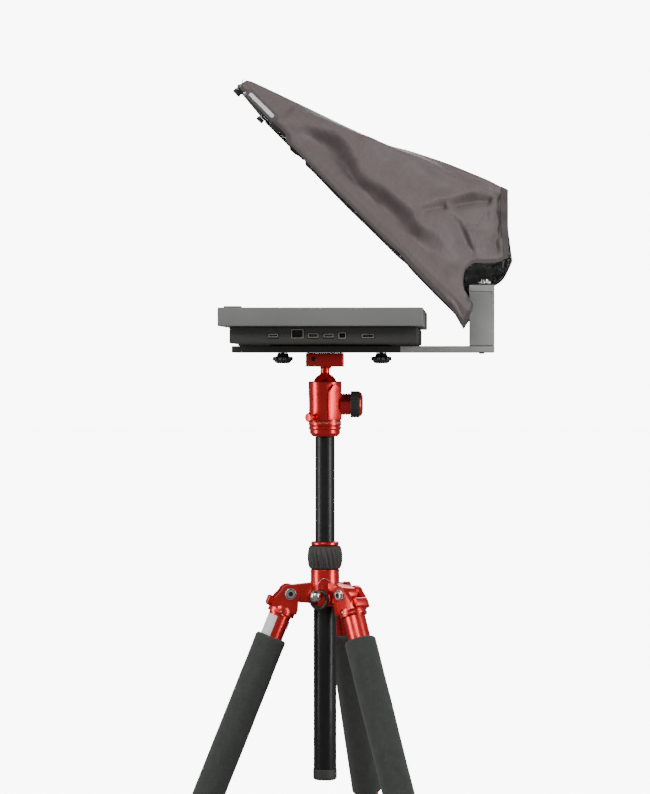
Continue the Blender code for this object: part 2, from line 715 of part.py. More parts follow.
def build_ball_head(root, foot, red, rubber):
    """The housing, the ball, its lock knob and the pan lock. Returns the ball centre's height."""
    low = foot + GAP
    pan = empty("head_pan_axis", (0, 0, low), parent=root)
    mouth = math.sqrt(BALL_RADIUS**2 - (HOUSING_HEIGHT - BALL_HEIGHT) ** 2) + RUNNING
    cavity = BALL_RADIUS + RUNNING
    housing = piece(
        "head_housing",
        turned(
            (
                (0, 0),
                (HOUSING_RADIUS - 0.7 * MM, 0),
                (HOUSING_RADIUS - 0.7 * MM, 8 * MM),
                (HOUSING_RADIUS - 0.9 * MM, 20 * MM),
                (HOUSING_RADIUS - 0.4 * MM, 36 * MM),
                (HOUSING_RADIUS, HOUSING_HEIGHT - 1.2 * MM),
                (HOUSING_RADIUS - 1 * MM, HOUSING_HEIGHT),
                (mouth + 0.2 * MM, HOUSING_HEIGHT),
                (cavity, BALL_HEIGHT + 1 * MM),
                (cavity, BALL_HEIGHT - 13 * MM),
                (9 * MM, BALL_HEIGHT - 17.5 * MM),
                (0, BALL_HEIGHT - 17.5 * MM),
            ),
            32,
        ),
        red,
        pan,
    )
    facet = box(
        (FACET_DISTANCE, -30 * MM, 2.5 * MM), (FACET_DISTANCE + 12 * MM, 30 * MM, HOUSING_HEIGHT - 4 * MM)
    )
    bmesh.ops.rotate(facet, verts=facet.verts, matrix=Matrix.Rotation(FACET_AZIMUTH, 3, "Z"))
    cut(housing, facet)
    knob_height = LOCK_KNOB_HEIGHT
    cut(
        housing,
        rod(
            KNOB_SHAFT_RADIUS + RUNNING,
            (9 * MM, 0, knob_height),
            (HOUSING_RADIUS + 5 * MM, 0, knob_height),
        ),
    )
    knob_axis = empty("ball_lock_axis", (0, 0, knob_height), (0, math.pi / 2, 0), pan)
    neck_foot = HOUSING_RADIUS + GAP
    grip_foot = neck_foot + 11 * MM
    core = LOCK_KNOB_RADIUS - 3 * MM
    piece(
        "ball_lock_knob",
        turned(
            (
                (0, 10 * MM),
                (KNOB_SHAFT_RADIUS, 10 * MM),
                (KNOB_SHAFT_RADIUS, neck_foot),
                (LOCK_KNOB_RADIUS - 0.5 * MM, neck_foot),
                (LOCK_KNOB_RADIUS - 0.5 * MM, neck_foot + 2.5 * MM),
                (LOCK_KNOB_RADIUS - 1.3 * MM, neck_foot + 3.2 * MM),
                (LOCK_KNOB_RADIUS - 0.5 * MM, neck_foot + 4 * MM),
                (LOCK_KNOB_RADIUS - 0.5 * MM, neck_foot + 6 * MM),
                (LOCK_KNOB_RADIUS - 1.3 * MM, neck_foot + 6.7 * MM),
                (LOCK_KNOB_RADIUS, neck_foot + 7.5 * MM),
                (LOCK_KNOB_RADIUS, grip_foot - GAP),
                (core, grip_foot - GAP),
                (core, grip_foot + LOCK_GRIP_LENGTH + GAP),
                (LOCK_KNOB_RADIUS + 1.4 * MM, grip_foot + LOCK_GRIP_LENGTH + GAP),
                (LOCK_KNOB_RADIUS + 1 * MM, grip_foot + LOCK_GRIP_LENGTH + 2.2 * MM),
                (LOCK_KNOB_RADIUS - 1.4 * MM, grip_foot + LOCK_GRIP_LENGTH + 3.6 * MM),
                (0, grip_foot + LOCK_GRIP_LENGTH + 4 * MM),
            )
        ),
        red,
        knob_axis,
    )
    grip = piece(
        "ball_lock_grip",
        ribbed(LOCK_GRIP_RADIUS, 0.6 * MM, 16, grip_foot, grip_foot + LOCK_GRIP_LENGTH, 3),
        rubber,
        knob_axis,
    )
    bore_top = (0, 0, grip_foot + LOCK_GRIP_LENGTH + 1 * MM)
    cut(grip, rod(core + GAP, (0, 0, grip_foot - 1 * MM), bore_top, 20))

    pan_outward = Vector((math.cos(PAN_KNOB_AZIMUTH), math.sin(PAN_KNOB_AZIMUTH), 0))
    pan_knob_axis = empty("pan_lock_axis", (0, 0, PAN_KNOB_HEIGHT), turn_to(pan_outward), pan)
    hole_start = pan_outward * 12 * MM + Vector((0, 0, PAN_KNOB_HEIGHT))
    cut(housing, rod(2.5 * MM + GAP, hole_start, hole_start + pan_outward * 15 * MM, 12))
    piece(
        "pan_lock_knob",
        turned(
            (
                (0, 13 * MM),
                (2.5 * MM, 13 * MM),
                (2.5 * MM, HOUSING_RADIUS + 1 * MM),
                (PAN_KNOB_RADIUS - 1.2 * MM, HOUSING_RADIUS + 1.4 * MM),
                (PAN_KNOB_RADIUS - 1.2 * MM, PAN_KNOB_REACH - 5 * MM),
                (PAN_KNOB_RADIUS, PAN_KNOB_REACH - 4 * MM),
                (PAN_KNOB_RADIUS, PAN_KNOB_REACH - 0.8 * MM),
                (PAN_KNOB_RADIUS - 0.8 * MM, PAN_KNOB_REACH),
                (0, PAN_KNOB_REACH),
            ),
            SMALL_SEGMENTS,
        ),
        red,
        pan_knob_axis,
    )
    centre = low + BALL_HEIGHT
    ball_axis = empty("ball_centre", (0, 0, centre), parent=root)
    neck = math.degrees(math.acos(STEM_RADIUS / BALL_RADIUS))
    ball_profile = [(0, -BALL_RADIUS)] + arc(BALL_RADIUS, -75, neck, 10)
    ball_profile += [(STEM_RADIUS, STEM_LENGTH - GAP), (0, STEM_LENGTH - GAP)]
    piece("ball_and_stem", turned(ball_profile), red, ball_axis)
    return centre


def build_clamp(root, foot, red, black, steel):
    """The dovetail clamp on the stem and the plate that it holds. Returns the plate's top."""
    low = foot
    top = low + CLAMP_HEIGHT
    half = CLAMP_WIDTH / 2
    groove = top - DOVETAIL_DEPTH
    wide = DOVETAIL_TOP + DOVETAIL_SLANT
    clamp_axis = empty("clamp_screw_axis", (0, 0, groove - 5 * MM), (-math.pi / 2, 0, 0), root)
    jaw_inside = half - JAW_THICKNESS
    body = piece(
        "clamp_body",
        prism(
            (
                (-half, low),
                (jaw_inside - GAP, low),
                (jaw_inside - GAP, groove),
                (-wide, groove),
                (-DOVETAIL_TOP, top),
                (-half, top),
            ),
            -CLAMP_LENGTH / 2,
            CLAMP_LENGTH / 2,
            "X",
        ),
        red,
        root,
    )
    screw_height = groove - 5 * MM
    cut(body, rod(3 * MM + RUNNING, (0, 0, screw_height), (0, half, screw_height), 12))
    jaw_outline = ((jaw_inside, low), (half, low), (half, top), (jaw_inside, top))
    if jaw_inside < wide:
        lip = ((DOVETAIL_TOP, top), (wide - GAP, groove + GAP), (jaw_inside, groove + GAP))
        jaw_outline = (*jaw_outline[:3], *lip)
    jaw = piece("clamp_jaw", prism(jaw_outline, -CLAMP_LENGTH / 2, CLAMP_LENGTH / 2, "X"), red, root)
    hole_end = (0, half + 1 * MM, screw_height)
    cut(jaw, rod(3 * MM + RUNNING, (0, jaw_inside - 1 * MM, screw_height), hole_end, 12))
    knob_foot = half + GAP
    piece(
        "clamp_knob",
        turned(
            (
                (0, 3 * MM),
                (3 * MM, 3 * MM),
                (3 * MM, knob_foot),
                (5.5 * MM, knob_foot),
                (5.5 * MM, knob_foot + 2 * MM),
                (8.5 * MM, knob_foot + 3 * MM),
                (8.5 * MM, knob_foot + 10 * MM),
                (7.5 * MM, knob_foot + 11 * MM),
                (0, knob_foot + 11 * MM),
            ),
            SMALL_SEGMENTS,
        ),
        steel,
        clamp_axis,
    )
    piece(
        "quick_release_plate",
        prism(
            (
                (-wide + 2 * GAP, groove + GAP),
                (wide - 3 * GAP, groove + GAP),
                (DOVETAIL_TOP - 2 * GAP, top + GAP),
                (-DOVETAIL_TOP + 2 * GAP, top + GAP),
            ),
            -CLAMP_LENGTH / 2 + 1 * MM,
            CLAMP_LENGTH / 2 - 1 * MM,
            "X",
        ),
        black,
        root,
    )
    return top + GAP


# ---------------------------------------------------------------- prompter


def slot(centre, radius, half_length, low, high):
    """A long hole along X."""
    outline = arc(radius, -90, 90, 5, (centre + half_length, 0.0)) + arc(
        radius, 90, 270, 5, (centre - half_length, 0.0)
    )
    return prism(outline, low, high, "Z")


def build_base(root, low, metal, black, steel):
    """The base rail, the upright on it, its cap, and the bracket that carries the frame's hinge."""
    top = low + BASE_THICKNESS
    rail = piece(
        "base_rail",
        box((BASE_FRONT, -BASE_HALF_WIDTH, low), (BASE_REAR, BASE_HALF_WIDTH, top)),
        metal,
        root,
    )
    for place in KNOB_PLACES:
        cut(rail, slot(place, KNOB_SCREW_RADIUS + RUNNING, KNOB_TRAVEL, low - 1 * MM, top + 1 * MM))
    upright_front = BASE_REAR - UPRIGHT_THICKNESS
    foot = top + GAP
    head = foot + UPRIGHT_HEIGHT
    upright = piece(
        "upright_bracket",
        box((upright_front, -BASE_HALF_WIDTH, foot), (BASE_REAR, BASE_HALF_WIDTH, head)),
        metal,
        root,
    )
    cut(
        upright,
        box(
            (upright_front + UPRIGHT_WALL, -BASE_HALF_WIDTH + UPRIGHT_WALL, foot - 1 * MM),
            (BASE_REAR - UPRIGHT_WALL, BASE_HALF_WIDTH - UPRIGHT_WALL, head - UPRIGHT_WALL),
        ),
    )
    cap_foot = head + GAP
    cap_top = cap_foot + CAP_THICKNESS
    cap = piece(
        "upright_cap",
        box((upright_front, -BASE_HALF_WIDTH, cap_foot), (BASE_REAR, BASE_HALF_WIDTH, cap_top)),
        metal,
        root,
    )
    nut_x = BASE_REAR - NUT_INSET
    hinge_x = upright_front - HINGE_FROM_UPRIGHT
    hinge_z = cap_top + HINGE_ABOVE_CAP
    plate_foot = cap_top + GAP
    plate_top = plate_foot + BRACKET_THICKNESS
    bracket = piece(
        "frame_bracket",
        box(
            (hinge_x + EAR_ROUND + 2 * MM, -BRACKET_HALF_WIDTH, plate_foot),
            (BASE_REAR, BRACKET_HALF_WIDTH, plate_top),
        ),
        black,
        root,
    )
    ear_outline = [
        (upright_front - 2 * MM, plate_top),
        *arc(EAR_ROUND, 90, 270, 8, (hinge_x, hinge_z)),
        (upright_front - 2 * MM, plate_foot - 4 * MM),
    ]
    inside = BRACKET_HALF_WIDTH - EAR_THICKNESS
    for side in (-1, 1):
        edges = sorted((side * inside, side * BRACKET_HALF_WIDTH))
        fuse(bracket, prism(ear_outline, *edges))
    hole = rod(
        HINGE_PIN_RADIUS + RUNNING,
        (hinge_x, -BRACKET_HALF_WIDTH - 1 * MM, hinge_z),
        (hinge_x, BRACKET_HALF_WIDTH + 1 * MM, hinge_z),
    )
    cut(bracket, hole)
    for target in (cap, bracket):
        cut(
            target,
            rod(NUT_SCREW_RADIUS + GAP, (nut_x, 0, cap_foot - 1 * MM), (nut_x, 0, plate_top + 1 * MM), 12),
        )
    nut_foot = plate_top + GAP - cap_foot
    piece(
        "bracket_nut",
        turned(
            (
                (0, GAP),
                (NUT_SCREW_RADIUS, GAP),
                (NUT_SCREW_RADIUS, nut_foot),
                (NUT_RADIUS - 0.6 * MM, nut_foot),
                (NUT_RADIUS, nut_foot + 0.6 * MM),
                (NUT_RADIUS, nut_foot + NUT_HEIGHT - 0.6 * MM),
                (NUT_RADIUS - 0.6 * MM, nut_foot + NUT_HEIGHT),
                (0, nut_foot + NUT_HEIGHT),
            ),
            SMALL_SEGMENTS,
        ),
        steel,
        root,
        (nut_x, 0, cap_foot),
    )
    return top, (hinge_x, hinge_z)


def build_monitor(root, base_top, dark, frame_plastic, screen, board, black):
    """The monitor lying face up on its mounting plate, with its board, button and thumb knobs."""
    centre = MONITOR_CENTRE
    plate_foot = base_top + GAP
    plate_top = plate_foot + VESA_THICKNESS
    vesa = piece(
        "vesa_plate",
        box(
            (KNOB_PLACES[0] - 12 * MM, -VESA_SIZE / 2, plate_foot),
            (KNOB_PLACES[1] + 12 * MM, VESA_SIZE / 2, plate_top),
        ),
        black,
        root,
    )
    front = centre - BEZEL_LENGTH / 2
    rear = centre + BEZEL_LENGTH / 2
    side = BEZEL_WIDTH / 2
    shell_foot = plate_top + GAP
    shell_top = shell_foot + SHELL_HEIGHT
    shell_low = Vector((front + HOUSING_FRONT_INSET, -side + HOUSING_SIDE_INSET, shell_foot))
    shell_high = Vector((rear - HOUSING_REAR_INSET, side - HOUSING_SIDE_INSET, shell_top))
    housing = piece("monitor_housing", box(shell_low, shell_high), dark, root)
    bevel(housing, 1.6 * MM, 2)
    wall = Vector((SHELL_WALL, SHELL_WALL, 0))
    cut(
        housing,
        box(shell_low + wall + Vector((0, 0, SHELL_WALL)), shell_high - wall + Vector((0, 0, 5 * MM))),
    )
    for place in KNOB_PLACES:
        start = (place, 0, plate_foot - 1 * MM)
        cut(vesa, rod(KNOB_SCREW_RADIUS + GAP, start, (place, 0, plate_top + 1 * MM), 12))
        cut(housing, rod(KNOB_SCREW_RADIUS + GAP, start, (place, 0, shell_foot + SHELL_WALL + 1 * MM), 12))
    near = shell_low.y
    board_foot = shell_foot + 5.2 * MM
    main = piece(
        "main_board",
        box(
            (-BOARD_LENGTH / 2, near + SHELL_WALL + 1 * MM, board_foot),
            (BOARD_LENGTH / 2, near + SHELL_WALL + BOARD_WIDTH, board_foot + BOARD_THICKNESS),
        ),
        board,
        root,
    )
    for x, height, length, tall in PORTS:
        middle = shell_foot + height
        low = Vector((x - length / 2, near + 0.4 * MM, middle - tall / 2))
        high = Vector((x + length / 2, near + 15 * MM, middle + tall / 2))
        sunk = Vector((0, 0, max(0.0, low.z - board_foot - BOARD_THICKNESS / 2)))
        fuse(main, box(low - sunk, high))
        edge = Vector((PORT_WALL, 0, PORT_WALL))
        cut(main, box(low + edge - Vector((0, 2 * MM, 0)), high - edge - Vector((0, 5 * MM, 0))))
        slack = Vector((GAP, 5 * MM, GAP))
        hole_low = low - sunk - slack
        hole_high = Vector((high.x, near + SHELL_WALL + 2 * MM, high.z)) + Vector((GAP, 0, GAP))
        cut(housing, box(hole_low, hole_high))

    bezel_foot = shell_top + GAP
    bezel_top = bezel_foot + BEZEL_HEIGHT
    bezel = piece("monitor_bezel", box((front, -side, bezel_foot), (rear, side, bezel_top)), frame_plastic, root)
    bevel(bezel, 0.8 * MM, 1)
    pocket = Vector((BEZEL_LENGTH / 2 - BEZEL_BORDER, side - BEZEL_BORDER, 0))
    middle = Vector((centre, 0, 0))
    cut(
        bezel,
        box(
            middle - pocket + Vector((0, 0, bezel_foot - 5 * MM)),
            middle + pocket + Vector((0, 0, bezel_top - BEZEL_LIP)),
        ),
    )
    window = Vector((SCREEN_LENGTH / 2, SCREEN_WIDTH / 2, 0))
    cut(
        bezel,
        box(
            middle - window + Vector((0, 0, bezel_foot)),
            middle + window + Vector((0, 0, bezel_top + 5 * MM)),
        ),
    )
    inside = pocket - Vector((GAP, GAP, 0))
    panel_top = bezel_top - BEZEL_LIP - GAP
    piece(
        "lcd_panel",
        box(
            middle - inside + Vector((0, 0, panel_top - PANEL_THICKNESS)),
            middle + inside + Vector((0, 0, panel_top)),
        ),
        screen,
        root,
    )
    button_x, button_y = BUTTON_PLACE
    press = empty("button_axis", (button_x, button_y, bezel_top), parent=root)
    half_length = (BUTTON_LENGTH - BUTTON_WIDTH) / 2

    def pad(radius, low, high):
        """The button's rounded outline between two heights."""
        return prism(
            arc(radius, -90, 90, 5, (half_length, 0.0)) + arc(radius, 90, 270, 5, (-half_length, 0.0)),
            low,
            high,
            "Z",
        )

    pocket_shape = pad(BUTTON_WIDTH / 2 + GAP, -BUTTON_SINK, 5 * MM)
    bmesh.ops.translate(pocket_shape, vec=press.location, verts=pocket_shape.verts)
    cut(bezel, pocket_shape)
    piece(
        "power_button",
        pad(BUTTON_WIDTH / 2, -BUTTON_SINK + BUTTON_TRAVEL + GAP, BUTTON_RISE),
        black,
        press,
    )
    for place, name in zip(KNOB_PLACES, ("front", "rear")):
        build_thumb_knob(root, f"monitor_knob_{name}", place, base_top - BASE_THICKNESS, shell_foot, black)


def build_thumb_knob(root, name, place, rail_foot, shell_foot, black):
    """A scalloped knob under the base rail, with its screw up through the slot."""
    axis = empty(f"{name}_axis", (place, 0, rail_foot), parent=root)
    hub_top = -GAP
    disc_top = hub_top - KNOB_HUB_HEIGHT
    disc_foot = hub_top - KNOB_HEIGHT
    lobes = []
    for i in range(KNOB_LOBES * 4):
        angle = math.tau * i / (KNOB_LOBES * 4)
        radius = KNOB_RADIUS - 1.6 * MM * (0.5 - 0.5 * math.cos(KNOB_LOBES * angle))
        lobes.append((radius * math.cos(angle), radius * math.sin(angle)))
    knob = piece(name, prism(lobes, disc_foot, disc_top, "Z"), black, axis)
    bevel(knob, 1.8 * MM, 1)
    fuse(
        knob,
        turned(
            (
                (0, disc_top - 2 * MM),
                (KNOB_HUB_RADIUS + 3 * MM, disc_top - 2 * MM),
                (KNOB_HUB_RADIUS, hub_top - 2 * MM),
                (KNOB_HUB_RADIUS, hub_top),
                (KNOB_SCREW_RADIUS, hub_top),
                (KNOB_SCREW_RADIUS, shell_foot - rail_foot + SCREW_REACH),
                (0, shell_foot - rail_foot + SCREW_REACH),
            ),
            SMALL_SEGMENTS,
        ),
    )


def build_glass(root, hinge, glass, black):
    """The tilting frame with its beam-splitter glass, and the knob on its hinge pin. Returns the hinge's empty."""
    hinge_x, hinge_z = hinge
    tilt = empty("glass_hinge", (hinge_x, 0, hinge_z), (0, GLASS_TILT, 0), root)
    upper = FRAME_LOWER - FRAME_LENGTH
    front = -FRAME_DEPTH
    back = front + FRAME_THICKNESS
    frame = piece(
        "glass_frame",
        box((upper, -FRAME_HALF_WIDTH, front), (FRAME_LOWER, FRAME_HALF_WIDTH, back)),
        black,
        tilt,
    )
    bevel(frame, 0.8 * MM, 1)
    bar = Vector((FRAME_BAR, FRAME_BAR, 0))
    low, high = Vector((upper, -FRAME_HALF_WIDTH, front)), Vector((FRAME_LOWER, FRAME_HALF_WIDTH, back))
    through = Vector((0, 0, 5 * MM))
    cut(frame, box(low + bar - through, high - bar + through))
    seat = Vector((FRAME_BAR - GLASS_SEAT, FRAME_BAR - GLASS_SEAT, 0))
    pane_foot = front + RETAINER_THICKNESS + GAP
    pane_top = pane_foot + GLASS_THICKNESS
    slack = Vector((GAP, GAP, 0))
    seat_low, seat_high = low + seat, high - seat
    cut(frame, box(seat_low - through, (*seat_high.xy, pane_top + GAP)))
    pane_low, pane_high = seat_low + slack, seat_high - slack
    piece("beam_splitter_glass", box((*pane_low.xy, pane_foot), (*pane_high.xy, pane_top)), glass, tilt)
    retainer = piece(
        "glass_retainer",
        box((*pane_low.xy, front), (*pane_high.xy, front + RETAINER_THICKNESS)),
        black,
        tilt,
    )
    cut(retainer, box(low + bar - through, high - bar + through))
    ear_inside = BRACKET_HALF_WIDTH + GAP
    ear_foot = back - 2 * MM
    for side in (-1, 1):
        edges = sorted((side * ear_inside, side * (ear_inside + EAR_THICKNESS)))
        outline = [
            (FRAME_LOWER - 1.5 * MM, ear_foot),
            (EAR_ROUND, -1 * MM),
            *arc(EAR_ROUND, 0, 180, 8),
            (FRAME_LOWER - FRAME_BAR + 0.5 * MM, ear_foot),
        ]
        fuse(frame, prism(outline, *edges))
    ear_outside = ear_inside + EAR_THICKNESS
    cut(
        frame,
        rod(HINGE_PIN_RADIUS + RUNNING, (0, -ear_outside - 1 * MM, 0), (0, ear_outside + 1 * MM, 0)),
    )
    knob_foot = ear_outside + GAP
    pin_axis = empty("tilt_lock_axis", (0, 0, 0), (math.pi / 2, 0, 0), tilt)
    piece(
        "tilt_lock_knob",
        turned(
            (
                (0, -ear_outside - 2 * MM),
                (HINGE_PIN_RADIUS, -ear_outside - 2 * MM),
                (HINGE_PIN_RADIUS, knob_foot),
                (TILT_KNOB_RADIUS - 3 * MM, knob_foot),
                (TILT_KNOB_RADIUS, knob_foot + 3 * MM),
                (TILT_KNOB_RADIUS, knob_foot + TILT_KNOB_LENGTH - 1 * MM),
                (TILT_KNOB_RADIUS - 1 * MM, knob_foot + TILT_KNOB_LENGTH),
                (0, knob_foot + TILT_KNOB_LENGTH),
            ),
            SMALL_SEGMENTS,
        ),
        black,
        pin_axis,
    )
    return tilt


def build_hood(tilt, cloth):
    """The cloth hood from the frame's edges back to the opening for the lens, open below."""
    side_steps, top_steps = 5, 6
    half = FRAME_HALF_WIDTH + HOOD_CLEARANCE
    lower = FRAME_LOWER
    upper = FRAME_LOWER - FRAME_LENGTH - HOOD_CLEARANCE
    seam = -FRAME_DEPTH + FRAME_THICKNESS / 3
    past_frame = -FRAME_DEPTH + FRAME_THICKNESS + HOOD_CLEARANCE
    cosine, sine = math.cos(GLASS_TILT), math.sin(GLASS_TILT)

    def level(x, z):
        """A point of the frame's own axes, turned to the level axes at the hinge."""
        return x * cosine + z * sine, -x * sine + z * cosine

    def side_point(share, t, depth, hem):
        """A point up the side, at this share of its height and this share of the way to the rear."""
        front_x, front_z = level(lower + (upper - lower) * share, depth)
        rear_z = REAR_OPENING_LOW + (REAR_OPENING_HIGH - REAR_OPENING_LOW) * share
        low_x, low_z = level(lower, depth)
        plain_x = low_x + (REAR_OPENING_X - low_x) * t
        plain_z = low_z + (REAR_OPENING_LOW - low_z) * t
        pull = (1 - share) ** 3
        x = front_x + (REAR_OPENING_X - front_x) * t + (hem[0] - plain_x) * pull
        z = front_z + (rear_z - front_z) * t + (hem[1] - plain_z) * pull
        return x, half + (REAR_HALF_WIDTH - half) * t, z

    rows = [(0.0, depth, level(lower + HOOD_DROP, depth)) for depth in (seam, past_frame)]
    steps = len(HOOD_HEM)
    rows += [((i + 1) / steps, past_frame, (x * MM, z * MM)) for i, (x, z) in enumerate(HOOD_HEM)]
    shape = bmesh.new()
    grid = []
    for t, depth, hem in rows:
        side = [side_point(k / side_steps, t, depth, hem) for k in range(side_steps + 1)]
        near = [(x, -y, z) for x, y, z in side]
        x, y, z = side[-1]
        top = [(x, -y + 2 * y * k / top_steps, z) for k in range(1, top_steps)]
        grid.append([shape.verts.new(p) for p in near + top + side[::-1]])
    for a, b in zip(grid, grid[1:]):
        for i in range(len(a) - 1):
            shape.faces.new((a[i], a[i + 1], b[i + 1], b[i]))
    hood = piece("hood", shape, cloth, tilt, rotation=(0, -GLASS_TILT, 0))
    skin = hood.modifiers.new("Cloth", "SOLIDIFY")
    skin.thickness = HOOD_CLOTH
    skin.offset = 1.0
    skin.use_even_offset = True


def centre_on_floor(root):
    """Moves the root so that the middle of the whole bounding box stands over the origin."""
    bpy.context.view_layer.update()
    graph = bpy.context.evaluated_depsgraph_get()
    corners = []
    for item in bpy.context.scene.objects:
        if item.type == "MESH" and not item.hide_render:
            made = item.evaluated_get(graph)
            corners += [made.matrix_world @ Vector(c) for c in made.bound_box]
    low = Vector([min(c[i] for c in corners) for i in range(3)])
    high = Vector([max(c[i] for c in corners) for i in range(3)])
    root.location.x -= (low.x + high.x) / 2
    root.location.y -= (low.y + high.y) / 2
    bpy.context.view_layer.update()


def main():
    """Builds the whole teleprompter."""
    clear_scene()
    red = material("red_anodised", (0.55, 0.02, 0.025), 0.28, 0.9)
    black = material("black_anodised", (0.02, 0.02, 0.021), 0.35, 0.6)
    metal = material("grey_painted_metal", (0.13, 0.13, 0.125), 0.5, 0.3)
    dark = material("dark_plastic", (0.045, 0.045, 0.042), 0.55)
    bezel_plastic = material("grey_plastic", (0.14, 0.14, 0.135), 0.5)
    steel = material("bright_steel", (0.72, 0.72, 0.7), 0.22, 1.0)
    rubber = material("black_rubber", (0.03, 0.03, 0.03), 0.75)
    foam = material("grey_foam", (0.045, 0.05, 0.048), 0.95)
    cloth = material("hood_cloth", (0.09, 0.08, 0.08), 0.8)
    screen = material("screen_glass", (0.01, 0.01, 0.012), 0.1)
    glass = material("half_mirror", (0.6, 0.65, 0.66), 0.05)
    board = material("circuit_board", (0.02, 0.12, 0.05), 0.6)

    root = empty("tripod_root", (0, 0, LEG_LENGTH * math.cos(LEG_SPLAY)))
    build_spider(root, red, black, steel, rubber)
    for number, azimuth in enumerate(LEG_AZIMUTHS, 1):
        build_leg(root, number, azimuth, red, black, foam, rubber, steel)
    column_top = build_column(root, red, black, rubber)
    pan_top = build_pan_base(root, column_top, red)
    ball_centre = build_ball_head(root, pan_top, red, rubber)
    plate_top = build_clamp(root, ball_centre + STEM_LENGTH, red, black, steel)
    base_top, hinge = build_base(root, plate_top + GAP, metal, black, steel)
    build_monitor(root, base_top, dark, bezel_plastic, screen, board, black)
    tilt = build_glass(root, hinge, glass, black)
    build_hood(tilt, cloth)
    centre_on_floor(root)


main()
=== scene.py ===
"""The looks of a teleprompter on a travel tripod.

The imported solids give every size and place. Each sub-assembly is a class: it measures its own solids, builds finer
pieces in their place, and dresses every piece in a procedural finish. X runs from the talent to the camera, Y along
the monitor's width and Z up.
"""

import json
import logging
import math
from dataclasses import dataclass, field
from enum import Enum
from typing import Optional, Sequence

import bmesh
import bpy
import numpy as np
from mathutils import Matrix, Vector, noise

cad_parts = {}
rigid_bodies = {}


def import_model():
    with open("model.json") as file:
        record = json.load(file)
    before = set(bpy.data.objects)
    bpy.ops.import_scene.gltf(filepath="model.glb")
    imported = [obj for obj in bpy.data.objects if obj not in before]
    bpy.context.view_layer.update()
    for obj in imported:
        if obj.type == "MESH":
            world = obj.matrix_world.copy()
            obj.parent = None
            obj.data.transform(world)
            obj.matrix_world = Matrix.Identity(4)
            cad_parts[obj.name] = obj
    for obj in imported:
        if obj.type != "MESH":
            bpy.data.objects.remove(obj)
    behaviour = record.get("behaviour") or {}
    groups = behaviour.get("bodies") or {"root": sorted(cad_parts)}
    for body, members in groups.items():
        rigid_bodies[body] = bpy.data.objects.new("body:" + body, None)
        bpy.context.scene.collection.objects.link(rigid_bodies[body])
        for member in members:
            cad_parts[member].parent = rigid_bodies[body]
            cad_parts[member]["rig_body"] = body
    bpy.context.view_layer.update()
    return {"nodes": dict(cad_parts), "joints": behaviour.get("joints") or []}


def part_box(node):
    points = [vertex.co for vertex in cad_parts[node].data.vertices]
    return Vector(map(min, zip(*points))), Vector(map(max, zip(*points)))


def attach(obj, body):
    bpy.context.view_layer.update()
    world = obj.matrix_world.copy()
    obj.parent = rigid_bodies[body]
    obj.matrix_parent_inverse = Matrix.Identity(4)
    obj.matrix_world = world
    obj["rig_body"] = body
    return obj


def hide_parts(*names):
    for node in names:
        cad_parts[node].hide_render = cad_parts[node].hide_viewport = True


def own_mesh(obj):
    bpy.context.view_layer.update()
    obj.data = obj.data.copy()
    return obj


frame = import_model()

LOG = logging.getLogger("teleprompter")
MM = 0.001
GLASS_TILT = math.radians(45.0)
Profile = Sequence[tuple[float, float]]


class Side(Enum):
    """The two ends of the monitor's width."""

    NEAR = -1
    FAR = 1


class Grain(Enum):
    """The surface textures that moulded and coated pieces have."""

    FINE = "fine"
    LEATHERY = "leathery"
    BRUSHED = "brushed"


# ---------------------------------------------------------------- finishes


